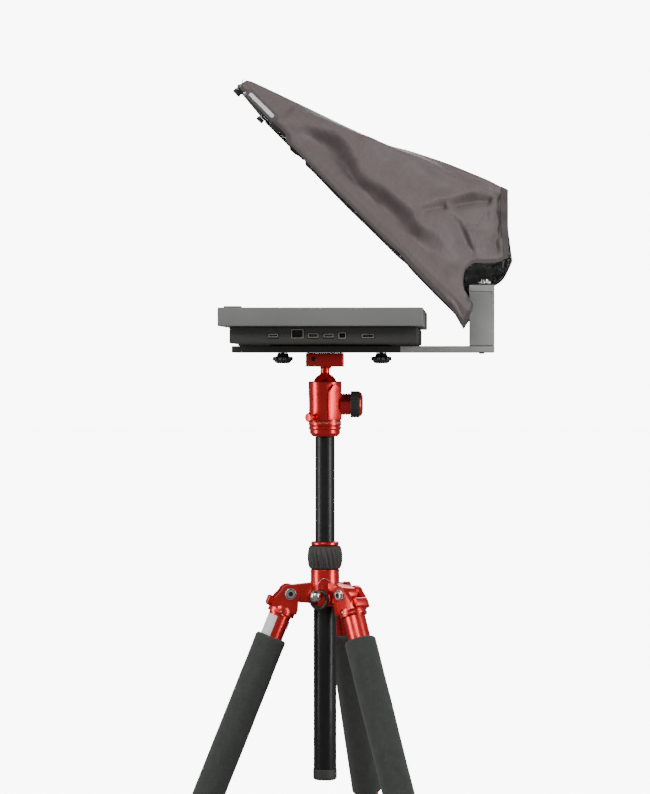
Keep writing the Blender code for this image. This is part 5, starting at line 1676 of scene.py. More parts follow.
@dataclass
class PrompterBase:
    """The rail, the upright at the camera's end, and the bracket that the mirror hinges on."""

    screw_radius: float = 3.2 * MM

    def build(self) -> None:
        """Rounds the plates and adds their screws and the silver clamping nut."""
        # Painted shadow: the whole rail is coated near-black as the monitor's shadow on it; the grey side strip gives
        # back its own grey where it is lit.
        refined("base_rail", DARK_COAT, 0.5 * MM, 3)
        refined("upright_bracket", GREY, 0.7 * MM, 4)
        # The cap takes the paler copy of the grey coat: its extra brightness is painted light.
        refined("upright_cap", LIT_GREY_COPY, 0.6 * MM, 3)
        refined("frame_bracket", DARK_COAT, 0.5 * MM, 3)
        self.build_nut()
        self.build_gap_shade_pads()
        self.build_rail_lit_face()
        self.build_screws()

    def build_nut(self) -> None:
        """The silver thumb nut with its washer and the stud's end."""
        low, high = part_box("bracket_nut")
        middle = (low + high) / 2
        place = Matrix.Translation((middle.x, middle.y, 0.0))
        radius = (high.x - low.x) / 2
        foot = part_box("frame_bracket")[0].z + 8.0 * MM
        foot = max(foot, low.z)
        rows = 6
        rise = high.z - foot
        side = [(radius, foot + 0.14 * rise + 0.4 * rise * k / rows) for k in range(rows + 1)]
        profile = [(0.0, foot), (radius - 0.8 * MM, foot), *side, (radius - 1.0 * MM, foot + 0.6 * rise),
                   (0.62 * radius, foot + 0.66 * rise), (0.58 * radius, foot + 0.9 * rise),
                   (0.4 * radius, high.z), (0.0, high.z)]
        nut = RIBS.grow(lathe(profile, segments=160), place, Ribs=20, Depth=0.6 * MM, Low=foot,
                        High=foot + 0.62 * rise, Fade=0.8 * MM, Inside=0.8 * radius, Material=STEEL.material())
        shank = lathe(rounded([(0.0, low.z), (2.8 * MM, low.z), (2.8 * MM, foot + 0.2 * MM),
                               (0.0, foot + 0.2 * MM)], 0.2 * MM), place, 32)
        piece("bracket_nut_turned", joined(nut, shank), STEEL, "prompter", "bracket_nut")

    def build_gap_shade_pads(self) -> None:
        """Thin dark blocks in a rubber finish under the monitor, fore and aft of its mounting plate: painted shadow
        that fills the gap between rail and housing.
        """
        rail_low, rail_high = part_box("base_rail")
        plate_low, plate_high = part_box("vesa_plate")
        shell_low, shell_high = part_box("monitor_housing")
        foot, top = rail_high.z + 0.2 * MM, shell_low.z + 0.3 * MM
        inset = 0.6 * MM
        pads = [
            block((start, rail_low.y + inset, foot), (end, rail_high.y - inset, top), 0.3 * MM)
            for start, end in (
                (shell_low.x + inset, plate_low.x - inset),
                (plate_high.x + inset, shell_high.x - inset),
            )
        ]
        # Painted shadow: dark blocks where the gap between rail and housing lies in shade.
        piece("rail_pads", joined(*pads), RUBBER, "monitor")

    def build_rail_lit_face(self) -> None:
        """The grey strip along the rail's sides from the upright to the monitor's end: the rail's own grey where it
        stands in light, over a rail coated near-black as painted shadow of the monitor.
        """
        low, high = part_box("base_rail")
        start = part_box("monitor_bezel")[1].x - 30 * MM
        strips = []
        for side in (low.y - 0.12 * MM, high.y - 0.28 * MM):
            strips.append(block((start, side, low.z + 0.5 * MM),
                                (high.x - 0.5 * MM, side + 0.4 * MM, high.z - 0.5 * MM), 0.12 * MM))
        # The strip is the rail's grey where it is lit, beside the painted shadow under the monitor.
        piece("rail_side_strip", joined(*strips), GREY, "prompter")

    def build_screws(self) -> None:
        """The socket screws up through the rail and across the cap."""
        rail_low, rail_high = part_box("base_rail")
        cap_low, cap_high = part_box("upright_cap")
        middle = (rail_low.y + rail_high.y) / 2
        along = (cap_low.x + cap_high.x) / 2
        up = Matrix.Identity(4)
        down = Matrix.Rotation(math.pi, 4, "X")
        spots = [
            (up, cap_high.z - 0.2 * MM, [(along, middle + side * 42 * MM) for side in (-1, 1)]),
            (down, rail_low.z + 0.2 * MM, [(along, middle + side * 34 * MM) for side in (-1, 0, 1)]),
        ]
        meshes = []
        for turn, height, places in spots:
            head = linked(socket_screw(self.screw_radius, 1.5 * MM), "head")
            flip = 1 if turn is up else -1
            dots = dots_mesh([(x, flip * y, 0.0) for x, y in places])
            place = Matrix.Translation((0, 0, height)) @ turn
            meshes.append(ON_POINTS.grow(dots, place, Part=head, Spin=math.pi / 3, Material=BLACK.material()))
        piece("base_screws", joined(*meshes), BLACK, "prompter")


@dataclass(frozen=True)
class Port:
    """A socket in the monitor's side."""

    along: float
    height: float
    length: float
    tall: float
    pins: int
    tongue: bool


@dataclass
class Monitor:
    """The monitor, face up: housing, bezel, screen, sockets and its mounting plate."""

    ports: tuple[Port, ...] = (
        Port(-53.0 * MM, 9.6 * MM, 12.0 * MM, 4.6 * MM, 9, True),
        Port(-24.3 * MM, 11.6 * MM, 15.4 * MM, 11.4 * MM, 8, False),
        Port(-5.6 * MM, 9.6 * MM, 13.0 * MM, 5.6 * MM, 4, True),
        Port(12.9 * MM, 9.6 * MM, 12.4 * MM, 4.8 * MM, 9, True),
        Port(29.0 * MM, 9.6 * MM, 9.6 * MM, 8.0 * MM, 1, False),
        Port(59.5 * MM, 9.0 * MM, 15.0 * MM, 5.4 * MM, 9, True),
    )

    def build(self) -> None:
        """Builds the monitor from its shell outwards."""
        refined("monitor_housing", SHELL, 0.8 * MM, 4, 35.0)
        refined("monitor_bezel", BEZEL, 0.7 * MM, 4, 35.0)
        refined("lcd_panel", SCREEN, 0.3 * MM, 2)
        refined("vesa_plate", DARK_COAT, 0.2 * MM, 2)
        refined("power_button", SHELL, 0.5 * MM, 3)
        refined("main_board", BOARD, 0.15 * MM, 2)
        self.build_ports()
        self.build_screws()
        self.build_vents()
        for name in ("front", "rear"):
            self.build_knob(name)

    def build_ports(self) -> None:
        """The bright shell round each socket, its dark moulding and its gilt contacts."""
        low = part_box("monitor_housing")[0]
        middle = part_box("centre_column")
        zero = (middle[0].x + middle[1].x) / 2
        rims, inserts, contacts = [], [], []
        for port in self.ports:
            place = Matrix.Translation((zero + port.along, low.y, low.z + port.height))
            half, tall = port.length / 2 - 0.35 * MM, port.tall / 2 - 0.35 * MM
            rims.append(self.port_rim(half, tall, place))
            back = 7.0 * MM
            if port.tongue:
                inserts.append(block((-half + 2.0 * MM, 0.9 * MM, -0.5 * MM), (half - 2.0 * MM, back, 0.5 * MM),
                                     0.12 * MM, place))
            elif port.pins == 1:
                inserts.append(lathe([(0.0, 0.0), (1.0 * MM, 0.0), (1.0 * MM, 4.6 * MM), (0.6 * MM, 5.2 * MM),
                                      (0.0, 5.2 * MM)],
                                     place @ Matrix.Translation((0, 6.0 * MM, 0))
                                     @ Matrix.Rotation(math.pi / 2, 4, "X"),
                                     24))
            inserts.append(block((-half + 0.5 * MM, back - 0.5 * MM, -tall + 0.5 * MM),
                                 (half - 0.5 * MM, back + 0.4 * MM, tall - 0.5 * MM), 0.1 * MM, place))
            pin = linked(block((-0.2 * MM, 1.4 * MM, 0.0), (0.2 * MM, back - 0.8 * MM, 0.12 * MM), 0.03 * MM), "pin")
            pitch = (2 * half - 5.2 * MM) / max(1, port.pins - 1)
            lift = 0.5 * MM if port.tongue else tall - 1.2 * MM
            dots = dots_mesh([((i - (port.pins - 1) / 2) * pitch, 0.0, lift) for i in range(port.pins)])
            contacts.append(ON_POINTS.grow(dots, place, Part=pin, Material=GOLD.material()))
        piece("port_rims", joined(*rims), PORT_SHELL, "monitor")
        piece("port_mouldings", joined(*inserts), SHELL, "monitor")
        piece("port_contacts", joined(*contacts), GOLD, "monitor")

    def port_rim(self, half: float, tall: float, place: Matrix) -> bpy.types.Mesh:
        """A rectangular ring of bright sheet round a socket's mouth.

        Args:
            half: half of its length.
            tall: half of its height.
            place: the socket's frame.

        Returns:
            The mesh.
        """
        outer = rounded([(-half, -tall), (half, -tall), (half, tall), (-half, tall)], 0.8 * MM, 3, closed=True)
        wall = 0.85 * MM
        inner = rounded([(-half + wall, -tall + wall), (half - wall, -tall + wall), (half - wall, tall - wall),
                         (-half + wall, tall - wall)], 0.6 * MM, 3, closed=True)
        shape = bmesh.new()
        loops = [
            [shape.verts.new((x, y, z)) for x, z in line]
            for line, y in ((outer, -0.45 * MM), (inner, -0.45 * MM), (inner, 3.0 * MM), (outer, 3.0 * MM))
        ]
        count = len(outer)
        for a, b in zip(loops, loops[1:] + loops[:1]):
            for i in range(count):
                j = (i + 1) % count
                shape.faces.new((a[i], a[j], b[j], b[i]))
        return shaded(shape, place)

    def build_screws(self) -> None:
        """The small dark screws round the housing's underside."""
        low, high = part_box("monitor_housing")
        inset = 9 * MM
        corners = [(x, -y, 0.0) for x in (low.x + inset, high.x - inset) for y in (low.y + inset, high.y - inset)]
        head = linked(socket_screw(2.2 * MM, 0.9 * MM), "head")
        place = Matrix.Translation((0, 0, low.z + 0.1 * MM)) @ Matrix.Rotation(math.pi, 4, "X")
        mesh = ON_POINTS.grow(dots_mesh(corners), place, Part=head, Spin=math.pi / 3, Material=BLACK.material())
        piece("housing_screws", mesh, BLACK, "monitor")

    def build_vents(self) -> None:
        """Rows of cooling louvres along the housing's far side and front end."""
        low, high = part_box("monitor_housing")
        middle = (low + high) / 2
        blade = block((-1.0 * MM, -0.35 * MM, -5.0 * MM), (1.0 * MM, 0.45 * MM, 5.0 * MM), 0.3 * MM)
        pitch, count = 4.2 * MM, 18
        dots = dots_mesh([((i - (count - 1) / 2) * pitch, 0.0, 0.0) for i in range(count)])
        place = Matrix.Translation((middle.x, high.y, middle.z))
        louvres = [ON_POINTS.grow(dots, place, Part=linked(blade.copy(), "blade"), Material=SHELL.material())]
        turn = Matrix.Rotation(math.pi / 2, 4, "Z")
        for side in (-1, 1):
            spots = dots_mesh([((i - 5.5) * pitch, 0.0, 0.0) for i in range(12)])
            place = Matrix.Translation((low.x, middle.y + side * 90 * MM, middle.z)) @ turn
            slat = linked(blade.copy(), "blade")
            louvres.append(ON_POINTS.grow(spots, place, Part=slat, Material=SHELL.material()))
        piece("housing_louvres", joined(*louvres), SHELL, "monitor")

    def build_knob(self, name: str) -> None:
        """A lobed thumb screw under the rail.

        Args:
            name: which one, front or rear.
        """
        node = f"monitor_knob_{name}"
        place = joint_place(f"{name}_knob_turn", (0, 0, 1))
        low, high = extent(node, place)
        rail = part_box("base_rail")[0].z - place.translation.z
        radius = high.x
        disc_top = rail - 4.8 * MM
        lobes, steps = 8, 192
        outline = []
        for i in range(steps):
            angle = math.tau * i / steps
            scallop = 0.5 - 0.5 * math.cos(lobes * angle)
            reach = radius - 1.7 * MM * scallop**1.4
            outline.append((reach * math.cos(angle), reach * math.sin(angle)))
        bowl = low.z + 3.4 * MM
        disc = plate(outline, bowl, disc_top, 1.2 * MM, place)
        dish = lathe([(0.0, low.z), (radius - 5.2 * MM, low.z), (radius - 3.2 * MM, low.z + 1.2 * MM),
                      (radius - 1.8 * MM, bowl), (radius - 1.8 * MM, bowl + 1 * MM), (0.0, bowl + 1 * MM)], place, 96)
        hub = lathe(rounded([(0.0, disc_top - 1 * MM), (9.0 * MM, disc_top - 1 * MM), (7.0 * MM, rail - 2.4 * MM),
                             (6.6 * MM, rail - 0.3 * MM), (0.0, rail - 0.3 * MM)], 0.8 * MM), place, 64)
        screw = lathe(rounded([(0.0, rail - 1 * MM), (2.3 * MM, rail - 1 * MM), (2.3 * MM, high.z - 0.6 * MM),
                               (1.8 * MM, high.z), (0.0, high.z)], 0.2 * MM), place, 32)
        dimple = lathe(rounded([(0.0, low.z - 0.1 * MM), (5.0 * MM, low.z - 0.1 * MM), (5.4 * MM, low.z + 0.6 * MM),
                                (0.0, low.z + 0.6 * MM)], 0.3 * MM), place, 48)
        piece(f"{node}_moulded", joined(disc, dish, hub, dimple), KNOB, f"{name}_knob", node)
        piece(f"{node}_screw", screw, STEEL, f"{name}_knob")


@dataclass
class MirrorFrame:
    """The tilting frame, its glass and the knob that locks it."""

    def __post_init__(self) -> None:
        """Finds the frame's own axes: X down the slope, Y across, Z to the camera's side."""
        self.place = Matrix.Translation(JOINTS["mirror_tilt"]["pos_m"]) @ Matrix.Rotation(GLASS_TILT, 4, "Y")
        self.low, self.high = extent("glass_retainer", self.place)

    def build(self) -> None:
        """Rounds the frame and retainer, fits the glass, and adds screws and clips."""
        refined("glass_frame", BLACK, 0.8 * MM, 3, 35.0)
        refined("glass_retainer", BLACK, 0.25 * MM, 2)
        refined("beam_splitter_glass", GLASS, 0.4 * MM, 2)
        self.build_screws()
        self.build_clips()
        self.build_knob()

    def build_screws(self) -> None:
        """The retainer's screws, evenly spaced round the glass."""
        inset = 5.2 * MM
        across = [self.low.y + inset, self.high.y - inset]
        down = [self.low.x + inset, self.high.x - inset]
        count = 5
        spots = [(x, -y, 0.0) for x in down for y in np.linspace(*across, count)]
        spots += [(x, -y, 0.0) for y in across for x in np.linspace(*down, count)[1:-1]]
        head = linked(socket_screw(1.9 * MM, 0.8 * MM), "head")
        turn = self.place @ Matrix.Translation((0, 0, self.low.z + 0.05 * MM)) @ Matrix.Rotation(math.pi, 4, "X")
        mesh = ON_POINTS.grow(dots_mesh(spots), turn, Part=head, Spin=math.pi / 3, Material=STEEL.material())
        piece("retainer_screws", mesh, STEEL, "mirror")

    def build_clips(self) -> None:
        """The side clips that the cloth hooks over: a strip, a lower catch and an upper stop on each side."""
        frame_low, frame_high = extent("glass_frame", self.place)
        top, front = frame_low.x, frame_low.z
        strips, catches, studs = [], [], []
        for side in Side:
            edge = frame_high.y if side is Side.FAR else frame_low.y
            out = side.value
            y = sorted((edge + 0.1 * MM * out, edge + 1.3 * MM * out))
            strips.append(block((top + 10 * MM, y[0], front - 1.2 * MM), (top + 82 * MM, y[1], front + 4.6 * MM),
                                0.4 * MM, self.place))
            y = sorted((edge - 6 * MM * out, edge + 1.6 * MM * out))
            outline = [(top + 56 * MM, front - 0.4 * MM), (top + 60 * MM, front - 3.6 * MM),
                       (top + 68 * MM, front - 3.2 * MM), (top + 86 * MM, front + 2.2 * MM),
                       (top + 86 * MM, front + 4.4 * MM), (top + 56 * MM, front + 1.0 * MM)]
            turn = self.place @ Matrix.Translation((0, y[1], 0)) @ Matrix.Rotation(math.pi / 2, 4, "X")
            catches.append(plate(outline, 0.0, y[1] - y[0], 0.6 * MM, turn))
            y = sorted((edge - 9 * MM * out, edge - 1 * MM * out))
            catches.append(block((top - 0.5 * MM, y[0], front - 6.0 * MM), (top + 9 * MM, y[1], front - 0.2 * MM),
                                 1.0 * MM, self.place))
            turn = self.place @ Matrix.Translation((top + 13 * MM, edge + 1.2 * MM * out, front + 1.4 * MM))
            head = socket_screw(2.3 * MM, 1.3 * MM)
            head.transform(turn @ Matrix.Rotation(math.pi / 2 * -out, 4, "X"))
            studs.append(head)
            knob = [self.place @ Vector((top + 1.5 * MM, edge + 0.9 * MM * out, front - 1.2 * MM)),
                    self.place @ Vector((top + 2.5 * MM, edge + 1.7 * MM * out, front + 5 * MM)),
                    self.place @ Vector((top - 1.0 * MM, edge + 1.5 * MM * out, front + 13 * MM))]
            studs.append(tube(knob, 0.6 * MM, 8))
        piece("frame_side_strips", joined(*strips), DARK_COAT, "mirror")
        piece("frame_catches", joined(*catches), KNOB, "mirror")
        piece("frame_side_screws", joined(*studs), STEEL, "mirror")

    def build_knob(self) -> None:
        """The tilt knob on the hinge pin."""
        place = joint_place("tilt_knob_turn")
        low, high = extent("tilt_lock_knob", place)
        radius = high.x
        deep = 12 * MM
        rows = 8
        side = [(radius, high.z - deep + 3 * MM + (deep - 4.6 * MM) * k / rows) for k in range(rows + 1)]
        profile = [(0.0, low.z), (2.9 * MM, low.z), (2.9 * MM, high.z - deep), (radius - 3 * MM, high.z - deep),
                   *side,
                   (radius - 1.2 * MM, high.z), (radius - 4 * MM, high.z - 0.7 * MM), (0.0, high.z - 0.7 * MM)]
        knob = RIBS.grow(lathe(profile, segments=192), place, Ribs=16, Depth=1.1 * MM, Low=high.z - deep + 1.5 * MM,
                         High=high.z - 0.4 * MM, Fade=1.4 * MM, Inside=radius - 1.6 * MM, Flatness=1.4,
                         Material=KNOB.material())
        piece("tilt_knob_fluted", knob, KNOB, "tilt_knob", "tilt_lock_knob")


# ---------------------------------------------------------------- hood


@dataclass(frozen=True)
class Crease:
    """A ridge in the cloth, or a valley where its height is negative.

    The line's points are X and Z in mm from the glass hinge, on the near side. Above and below are the widths in mm
    of its two slopes.
    """

    line: tuple[tuple[float, float], ...]
    height: float
    above: float
    below: float
    ends: float = 0.18

    def pressed(self, spots: np.ndarray, drift: float = 0.0) -> np.ndarray:
        """How far the crease moves the cloth outwards.

        Args:
            spots: X and Z of the cloth's points, in mm, one row each.
            drift: how far along X the crease is moved, in mm.

        Returns:
            One distance in mm for each spot.
        """
        line = np.array([tuple(p) for p in smooth_line(self.line, 6)]) + (drift, 0.0)
        start, run = line[:-1], np.diff(line, axis=0)
        gap = spots[:, None, :] - start[None]
        share = np.clip((gap * run).sum(2) / (run * run).sum(1), 0.0, 1.0)
        offset = gap - run * share[..., None]
        distance = np.linalg.norm(offset, axis=2)
        nearest = distance.argmin(1)
        rows = np.arange(len(spots))
        reach, offset, run = distance[rows, nearest], offset[rows, nearest], run[nearest]
        over = run[:, 0] * offset[:, 1] - run[:, 1] * offset[:, 0] > 0
        width = np.where(over, self.above, self.below)
        along = (nearest + share[rows, nearest]) / len(start)
        taper = np.clip(np.minimum(along, 1 - along) / self.ends, 0.0, 1.0)
        return self.height * np.exp(-((reach / width) ** 2)) * taper * taper * (3 - 2 * taper)


SIDE_CREASES = (
    # the big swag from the top corner down to the arch: full above, steep below, with a trough under it
    Crease(((-206, 199), (-196, 193), (-163, 184), (-136, 175), (-117, 153), (-102, 124), (-80, 111), (-60, 95),
            (-45, 82),
            (-38, 68), (-18, 59), (4, 39), (22, 30)), 15.0, 46, 11, 0.24),
    Crease(((-190, 184), (-154, 161), (-127, 134), (-114, 112), (-92, 97), (-63, 68), (-47, 50), (-14, 28), (9, 12)),
           -7.0, 10, 20, 0.1),
    # the fold under the top edge
    Crease(((-118, 178), (-87, 166), (-58, 153), (-29, 141), (-2.5, 126), (20, 121), (46, 116)), 7.0, 7, 20, 0.12),
    Crease(((-60, 140), (-30, 126), (0, 113), (30, 108)), -3.5, 10, 14, 0.25),
    # the bow-shaped pinch above the lens arch
    Crease(((-42, 82), (-24, 88), (-6, 93)), -7.5, 4, 5.5, 0.2),
    Crease(((-9, 91), (12, 99), (34, 103), (50, 104)), -8.0, 4, 7, 0.18),
    Crease(((-32, 97), (-10, 101), (18, 110), (36, 112)), 4.0, 9, 4, 0.3),
    # creases that fan down to the arch
    Crease(((-6, 86), (4, 64), (16, 38)), -5.0, 4, 6, 0.2),
    Crease(((2, 80), (14, 54), (26, 29)), -4.4, 3.5, 5, 0.2),
    Crease(((-14, 84), (-4, 62), (8, 42)), 3.0, 5, 5, 0.25),
    Crease(((14, 74), (21, 54), (25, 40)), 3.4, 4, 4, 0.3),
    Crease(((46, 62), (50, 48), (52, 34)), -3.4, 3.5, 4, 0.3),
    Crease(((28, 68), (35, 50), (39, 33)), 3.2, 6, 6, 0.3),
    # the gathered band beside the rear opening
    Crease(((56, 116), (52, 96), (55, 74), (51, 52), (56, 36)), -5.0, 4, 5, 0.15),
    Crease(((48, 108), (45, 90), (47, 70)), 2.6, 5, 4, 0.3),
    # small star and stray creases
    Crease(((-158, 138), (-141, 131), (-126, 134)), -3.0, 3, 3.4, 0.35),
    Crease(((-147, 143), (-141, 131), (-138, 121)), -2.6, 3, 3, 0.35),
    Crease(((-107, 102), (-96, 98), (-84, 91)), -2.4, 3, 3.4, 0.35),
    Crease(((-76, 61), (-65, 57), (-50, 59)), -3.2, 3, 3, 0.35),
    Crease(((-64, 48), (-44, 24), (-20, 3)), 3.0, 9, 5, 0.3),
    Crease(((-214, 186), (-186, 168), (-160, 146)), -2.4, 7, 7, 0.3),
    Crease(((-30, 40), (-12, 20), (2, -2), (10, -22)), 3.4, 9, 6, 0.25),
    Crease(((-4, 10), (6, -10), (12, -30)), -3.0, 4, 5, 0.3),
    # the crumpled tip
    Crease(((0, -12), (8, -26), (13, -42)), -4.6, 3.6, 5, 0.2),
    Crease(((13, -14), (15, -28), (16, -44)), -3.8, 3, 3.6, 0.2),
    Crease(((-12, -16), (2, -30), (8, -46)), 3.4, 5, 4, 0.25),
)


@dataclass
class Hood:
    """The cloth hood from the mirror frame back to the lens opening."""

    half_front: float = 196.4 * MM
    half_rear: float = 80.0 * MM
    rear: float = 65.0 * MM
    rear_low: float = 33.4 * MM
    rear_high: float = 115.5 * MM
    drop: float = 30.0 * MM
    corner: float = 5.0 * MM
    frame_thick: float = 7.0 * MM
    thick: float = 0.7 * MM
    relief: float = 1.15
    rows: int = 150
    side_steps: int = 92
    corner_steps: int = 8
    top_steps: int = 56
    near_hem: tuple[tuple[float, float], ...] = (
        (11, -53), (18, -40), (22.5, -28), (18, -22), (13, -13), (10.5, 1), (13.2, 15), (23, 25), (37, 25.5),
        (51, 27),
        (65, 33.4),
    )
    far_hem: tuple[tuple[float, float], ...] = (
        (11, -50), (19, -38), (25.5, -24), (27, -13), (27.5, -4), (30, 2), (36, 4.5), (44, 3.5), (53, 5.5), (63, 14),
        (72.7, 34.4),
    )
    ridge: tuple[tuple[float, float], ...] = (
        (-258, 235.5), (-252, 239), (-242, 239), (-227.8, 233.2), (-184.7, 213.5), (-127.3, 186.5), (-84.3, 167.9),
        (-52.7, 159.9), (-12.5, 147.8), (16.1, 137.1), (39.1, 128), (53.5, 121), (65, 115.5),
    )
    front_edge: tuple[tuple[float, float], ...] = (
        (30, -9.0), (8, -3.2), (-2, -3.2), (-28, -3.4), (-56, -3.0), (-74, -2.6), (-85, -1.4), (-99, -2.8),
        (-123, -3.0),
        (-157, -3.2), (-192, -3.8), (-225, -3.4), (-258, -2.6), (-272, -3.2), (-279, 2.4), (-361, 2.6),
    )

    def __post_init__(self) -> None:
        """Measures the mirror frame in its own axes and in the level axes at its hinge."""
        self.hinge = Vector(JOINTS["mirror_tilt"]["pos_m"])
        self.tilted = Matrix.Translation(self.hinge) @ Matrix.Rotation(GLASS_TILT, 4, "Y")
        retainer_low, retainer_high = extent("glass_retainer", self.tilted)
        border = 10.3 * MM
        self.upper = retainer_low.x - border
        self.lower = retainer_high.x + border
        self.front = retainer_low.z
        self.behind = self.front + self.frame_thick + 1 * MM

    def level(self, x: np.ndarray, z: np.ndarray) -> tuple[np.ndarray, np.ndarray]:
        """Turns the frame's own X and Z to the level axes at the hinge."""
        cosine, sine = math.cos(GLASS_TILT), math.sin(GLASS_TILT)
        return x * cosine + z * sine, -x * sine + z * cosine

    def side_net(self, side: Side) -> np.ndarray:
        """The side panel's net before it is creased, from the hem up and from the frame back.

        Args:
            side: which side.

        Returns:
            Points in metres from the hinge, as rows by steps by three.
        """
        share = np.linspace(0.0, 1.0, self.side_steps + 1)
        t = np.linspace(0.0, 1.0, self.rows + 1)[:, None]
        slope = self.lower + self.drop + (self.upper - 0.9 * MM - self.lower - self.drop) * share
        edge = np.array(self.front_edge)[::-1] * MM
        depth = self.front + np.interp(slope - self.lower, edge[:, 0], edge[:, 1])
        front_x, front_z = self.level(slope, depth)
        rear_x = self.rear + (0.0 if side is Side.NEAR else 7.7 * MM) * (1 - share) ** 1.5
        rear_z = self.rear_low + (self.rear_high - self.rear_low) * share
        x = front_x + (rear_x - front_x) * t
        z = front_z + (rear_z - front_z) * t
        hem = np.array([tuple(p) for p in smooth_line(self.near_hem if side is Side.NEAR else self.far_hem, 24)]) * MM
        run = np.concatenate(([0.0], np.cumsum(np.linalg.norm(np.diff(hem, axis=0), axis=1))))
        wanted = t[:, 0] * run[-1]
        pull = (1 - share[None]) ** 3.2
        x = x + (np.interp(wanted, run, hem[:, 0]) - x[:, 0])[:, None] * pull
        z = z + (np.interp(wanted, run, hem[:, 1]) - z[:, 0])[:, None] * pull
        ridge = np.array([tuple(p) for p in smooth_line(self.ridge, 8)]) * MM
        lift = np.interp(x[:, -1], ridge[:, 0], ridge[:, 1]) - z[:, -1]
        z = z + (lift * np.clip(t[:, 0] / 0.03, 0.0, 1.0))[:, None] * share[None] ** 7
        behind = (x + z) * math.sin(GLASS_TILT) - self.behind
        taper = np.clip(behind / np.maximum(behind[-1:], 10 * MM), 0.0, 1.0)
        half = self.half_front + (self.half_rear - self.half_front) * taper
        flap = np.exp(-(((x - 8 * MM) / (26 * MM)) ** 2)) * np.clip(-z / (50 * MM), 0.0, 1.0)
        return np.stack((x, side.value * (half - 4 * MM * flap), z), axis=2)

    def creased(self, net: np.ndarray, side: Side) -> np.ndarray:
        """Presses the creases and fine wrinkles into a side panel.

        Args:
            net: the panel's points.
            side: which side.

        Returns:
            The moved points.
        """
        spots = net[..., (0, 2)].reshape(-1, 2) / MM
        drift = 0.0 if side is Side.NEAR else 9.0
        depth = sum(crease.pressed(spots, drift * math.cos(k)) for k, crease in enumerate(SIDE_CREASES))
        if side is Side.FAR:
            depth = 0.8 * depth
        depth = self.relief * depth.reshape(net.shape[:2])
        rows = np.linspace(0.0, 1.0, net.shape[0])[:, None]
        share = np.linspace(0.0, 1.0, net.shape[1])[None]
        wrinkle = np.zeros(net.shape[:2])
        for i in range(net.shape[0]):
            for j in range(net.shape[1]):
                x, _, z = net[i, j]
                along, across = (x - z) * 0.7071, (x + z) * 0.7071
                wrinkle[i, j] = 1.5 * noise.noise(Vector((7 * along + 2 * side.value, 26 * across, 0.3)))
                wrinkle[i, j] += 0.8 * noise.noise(Vector((36 * x, 3.0 * side.value, 42 * z)))
                wrinkle[i, j] += 0.35 * noise.noise(Vector((110 * x, 5.0, 120 * z + side.value)))
        gather = np.exp(-rows / 0.035) * (1 - np.exp(-rows / 0.006))
        ripple = 1.3 * gather * np.sin(share * 150 + 2.2 * np.sin(share * 31))
        rear = np.exp(-((1 - rows) / 0.06) ** 2)
        ripple = ripple + rear * 1.6 * np.sin(share * 21 + 1.0 + side.value) * np.sin(share * math.pi)
        held = (1 - np.exp(-rows / 0.03)) * (0.35 + 0.65 * (1 - np.exp(-(1 - rows) / 0.05)))
        top = 1 - np.clip((share - 0.93) / 0.07, 0.0, 1.0) ** 2
        behind = np.clip(((net[..., 0] + net[..., 2]) * math.sin(GLASS_TILT) - self.behind) / (14 * MM), 0.0, 1.0)
        out = (depth * held * top + wrinkle * held * top + ripple * top) * MM
        out = np.where(out < 0, out * behind, out)
        moved = net.copy()
        moved[..., 1] += side.value * out
        moved[..., 2] += 0.25 * out
        return moved

    def net(self) -> np.ndarray:
        """The whole hood's net: near side up, over the top, and down the far side.

        Returns:
            Points in the row frame, as rows by steps by three.
        """
        near = self.creased(self.side_net(Side.NEAR), Side.NEAR)
        far = self.creased(self.side_net(Side.FAR), Side.FAR)
        rows = np.linspace(0.0, 1.0, self.rows + 1)[:, None, None]
        over_near, over_far = near[:, -1:], far[:, -1:]
        across = over_far - over_near
        width = np.linalg.norm(across, axis=2, keepdims=True)
        up_near = near[:, -1:] - near[:, -6:-5]
        up_far = far[:, -1:] - far[:, -6:-5]
        rise = self.corner
        up_near = up_near / np.linalg.norm(up_near, axis=2, keepdims=True) * rise
        up_far = up_far / np.linalg.norm(up_far, axis=2, keepdims=True) * rise
        inward = across / width * rise
        near = near - up_near * (np.linspace(0, 1, self.side_steps + 1)[None, :, None] ** 8)
        far = far - up_far * (np.linspace(0, 1, self.side_steps + 1)[None, :, None] ** 8)
        turn = np.linspace(0.0, 1.0, self.corner_steps + 2)[None, 1:-1, None]
        near_bend = (1 - turn) ** 2 * (over_near - up_near) + 2 * turn * (1 - turn) * over_near
        near_bend = near_bend + turn**2 * (over_near + inward)
        far_bend = (1 - turn) ** 2 * (over_far - inward) + 2 * turn * (1 - turn) * over_far
        far_bend = far_bend + turn**2 * (over_far - up_far)
        share = np.linspace(0.0, 1.0, self.top_steps + 1)[None, :, None]
        top = (over_near + inward) * (1 - share) + (over_far - inward) * share
        slack = np.sin(math.pi * share) * np.sin(math.pi * np.clip(rows, 0.0, 1.0)) ** 0.8
        folds = 2.6 * np.sin(share * 19 + 5 * rows) + 1.5 * np.sin(share * 37 - 7 * rows + 1.3)
        top[..., 2:] -= (slack * (9.0 + folds)) * MM
        net = np.concatenate((near, near_bend, top, far_bend, far[:, ::-1]), axis=1)
        return net + np.array(self.hinge)

    def normals(self, net: np.ndarray) -> np.ndarray:
        """The net's outward directions."""
        down, across = np.gradient(net, axis=0), np.gradient(net, axis=1)
        facing = np.cross(down, across)
        return facing / np.maximum(np.linalg.norm(facing, axis=2, keepdims=True), 1e-12)

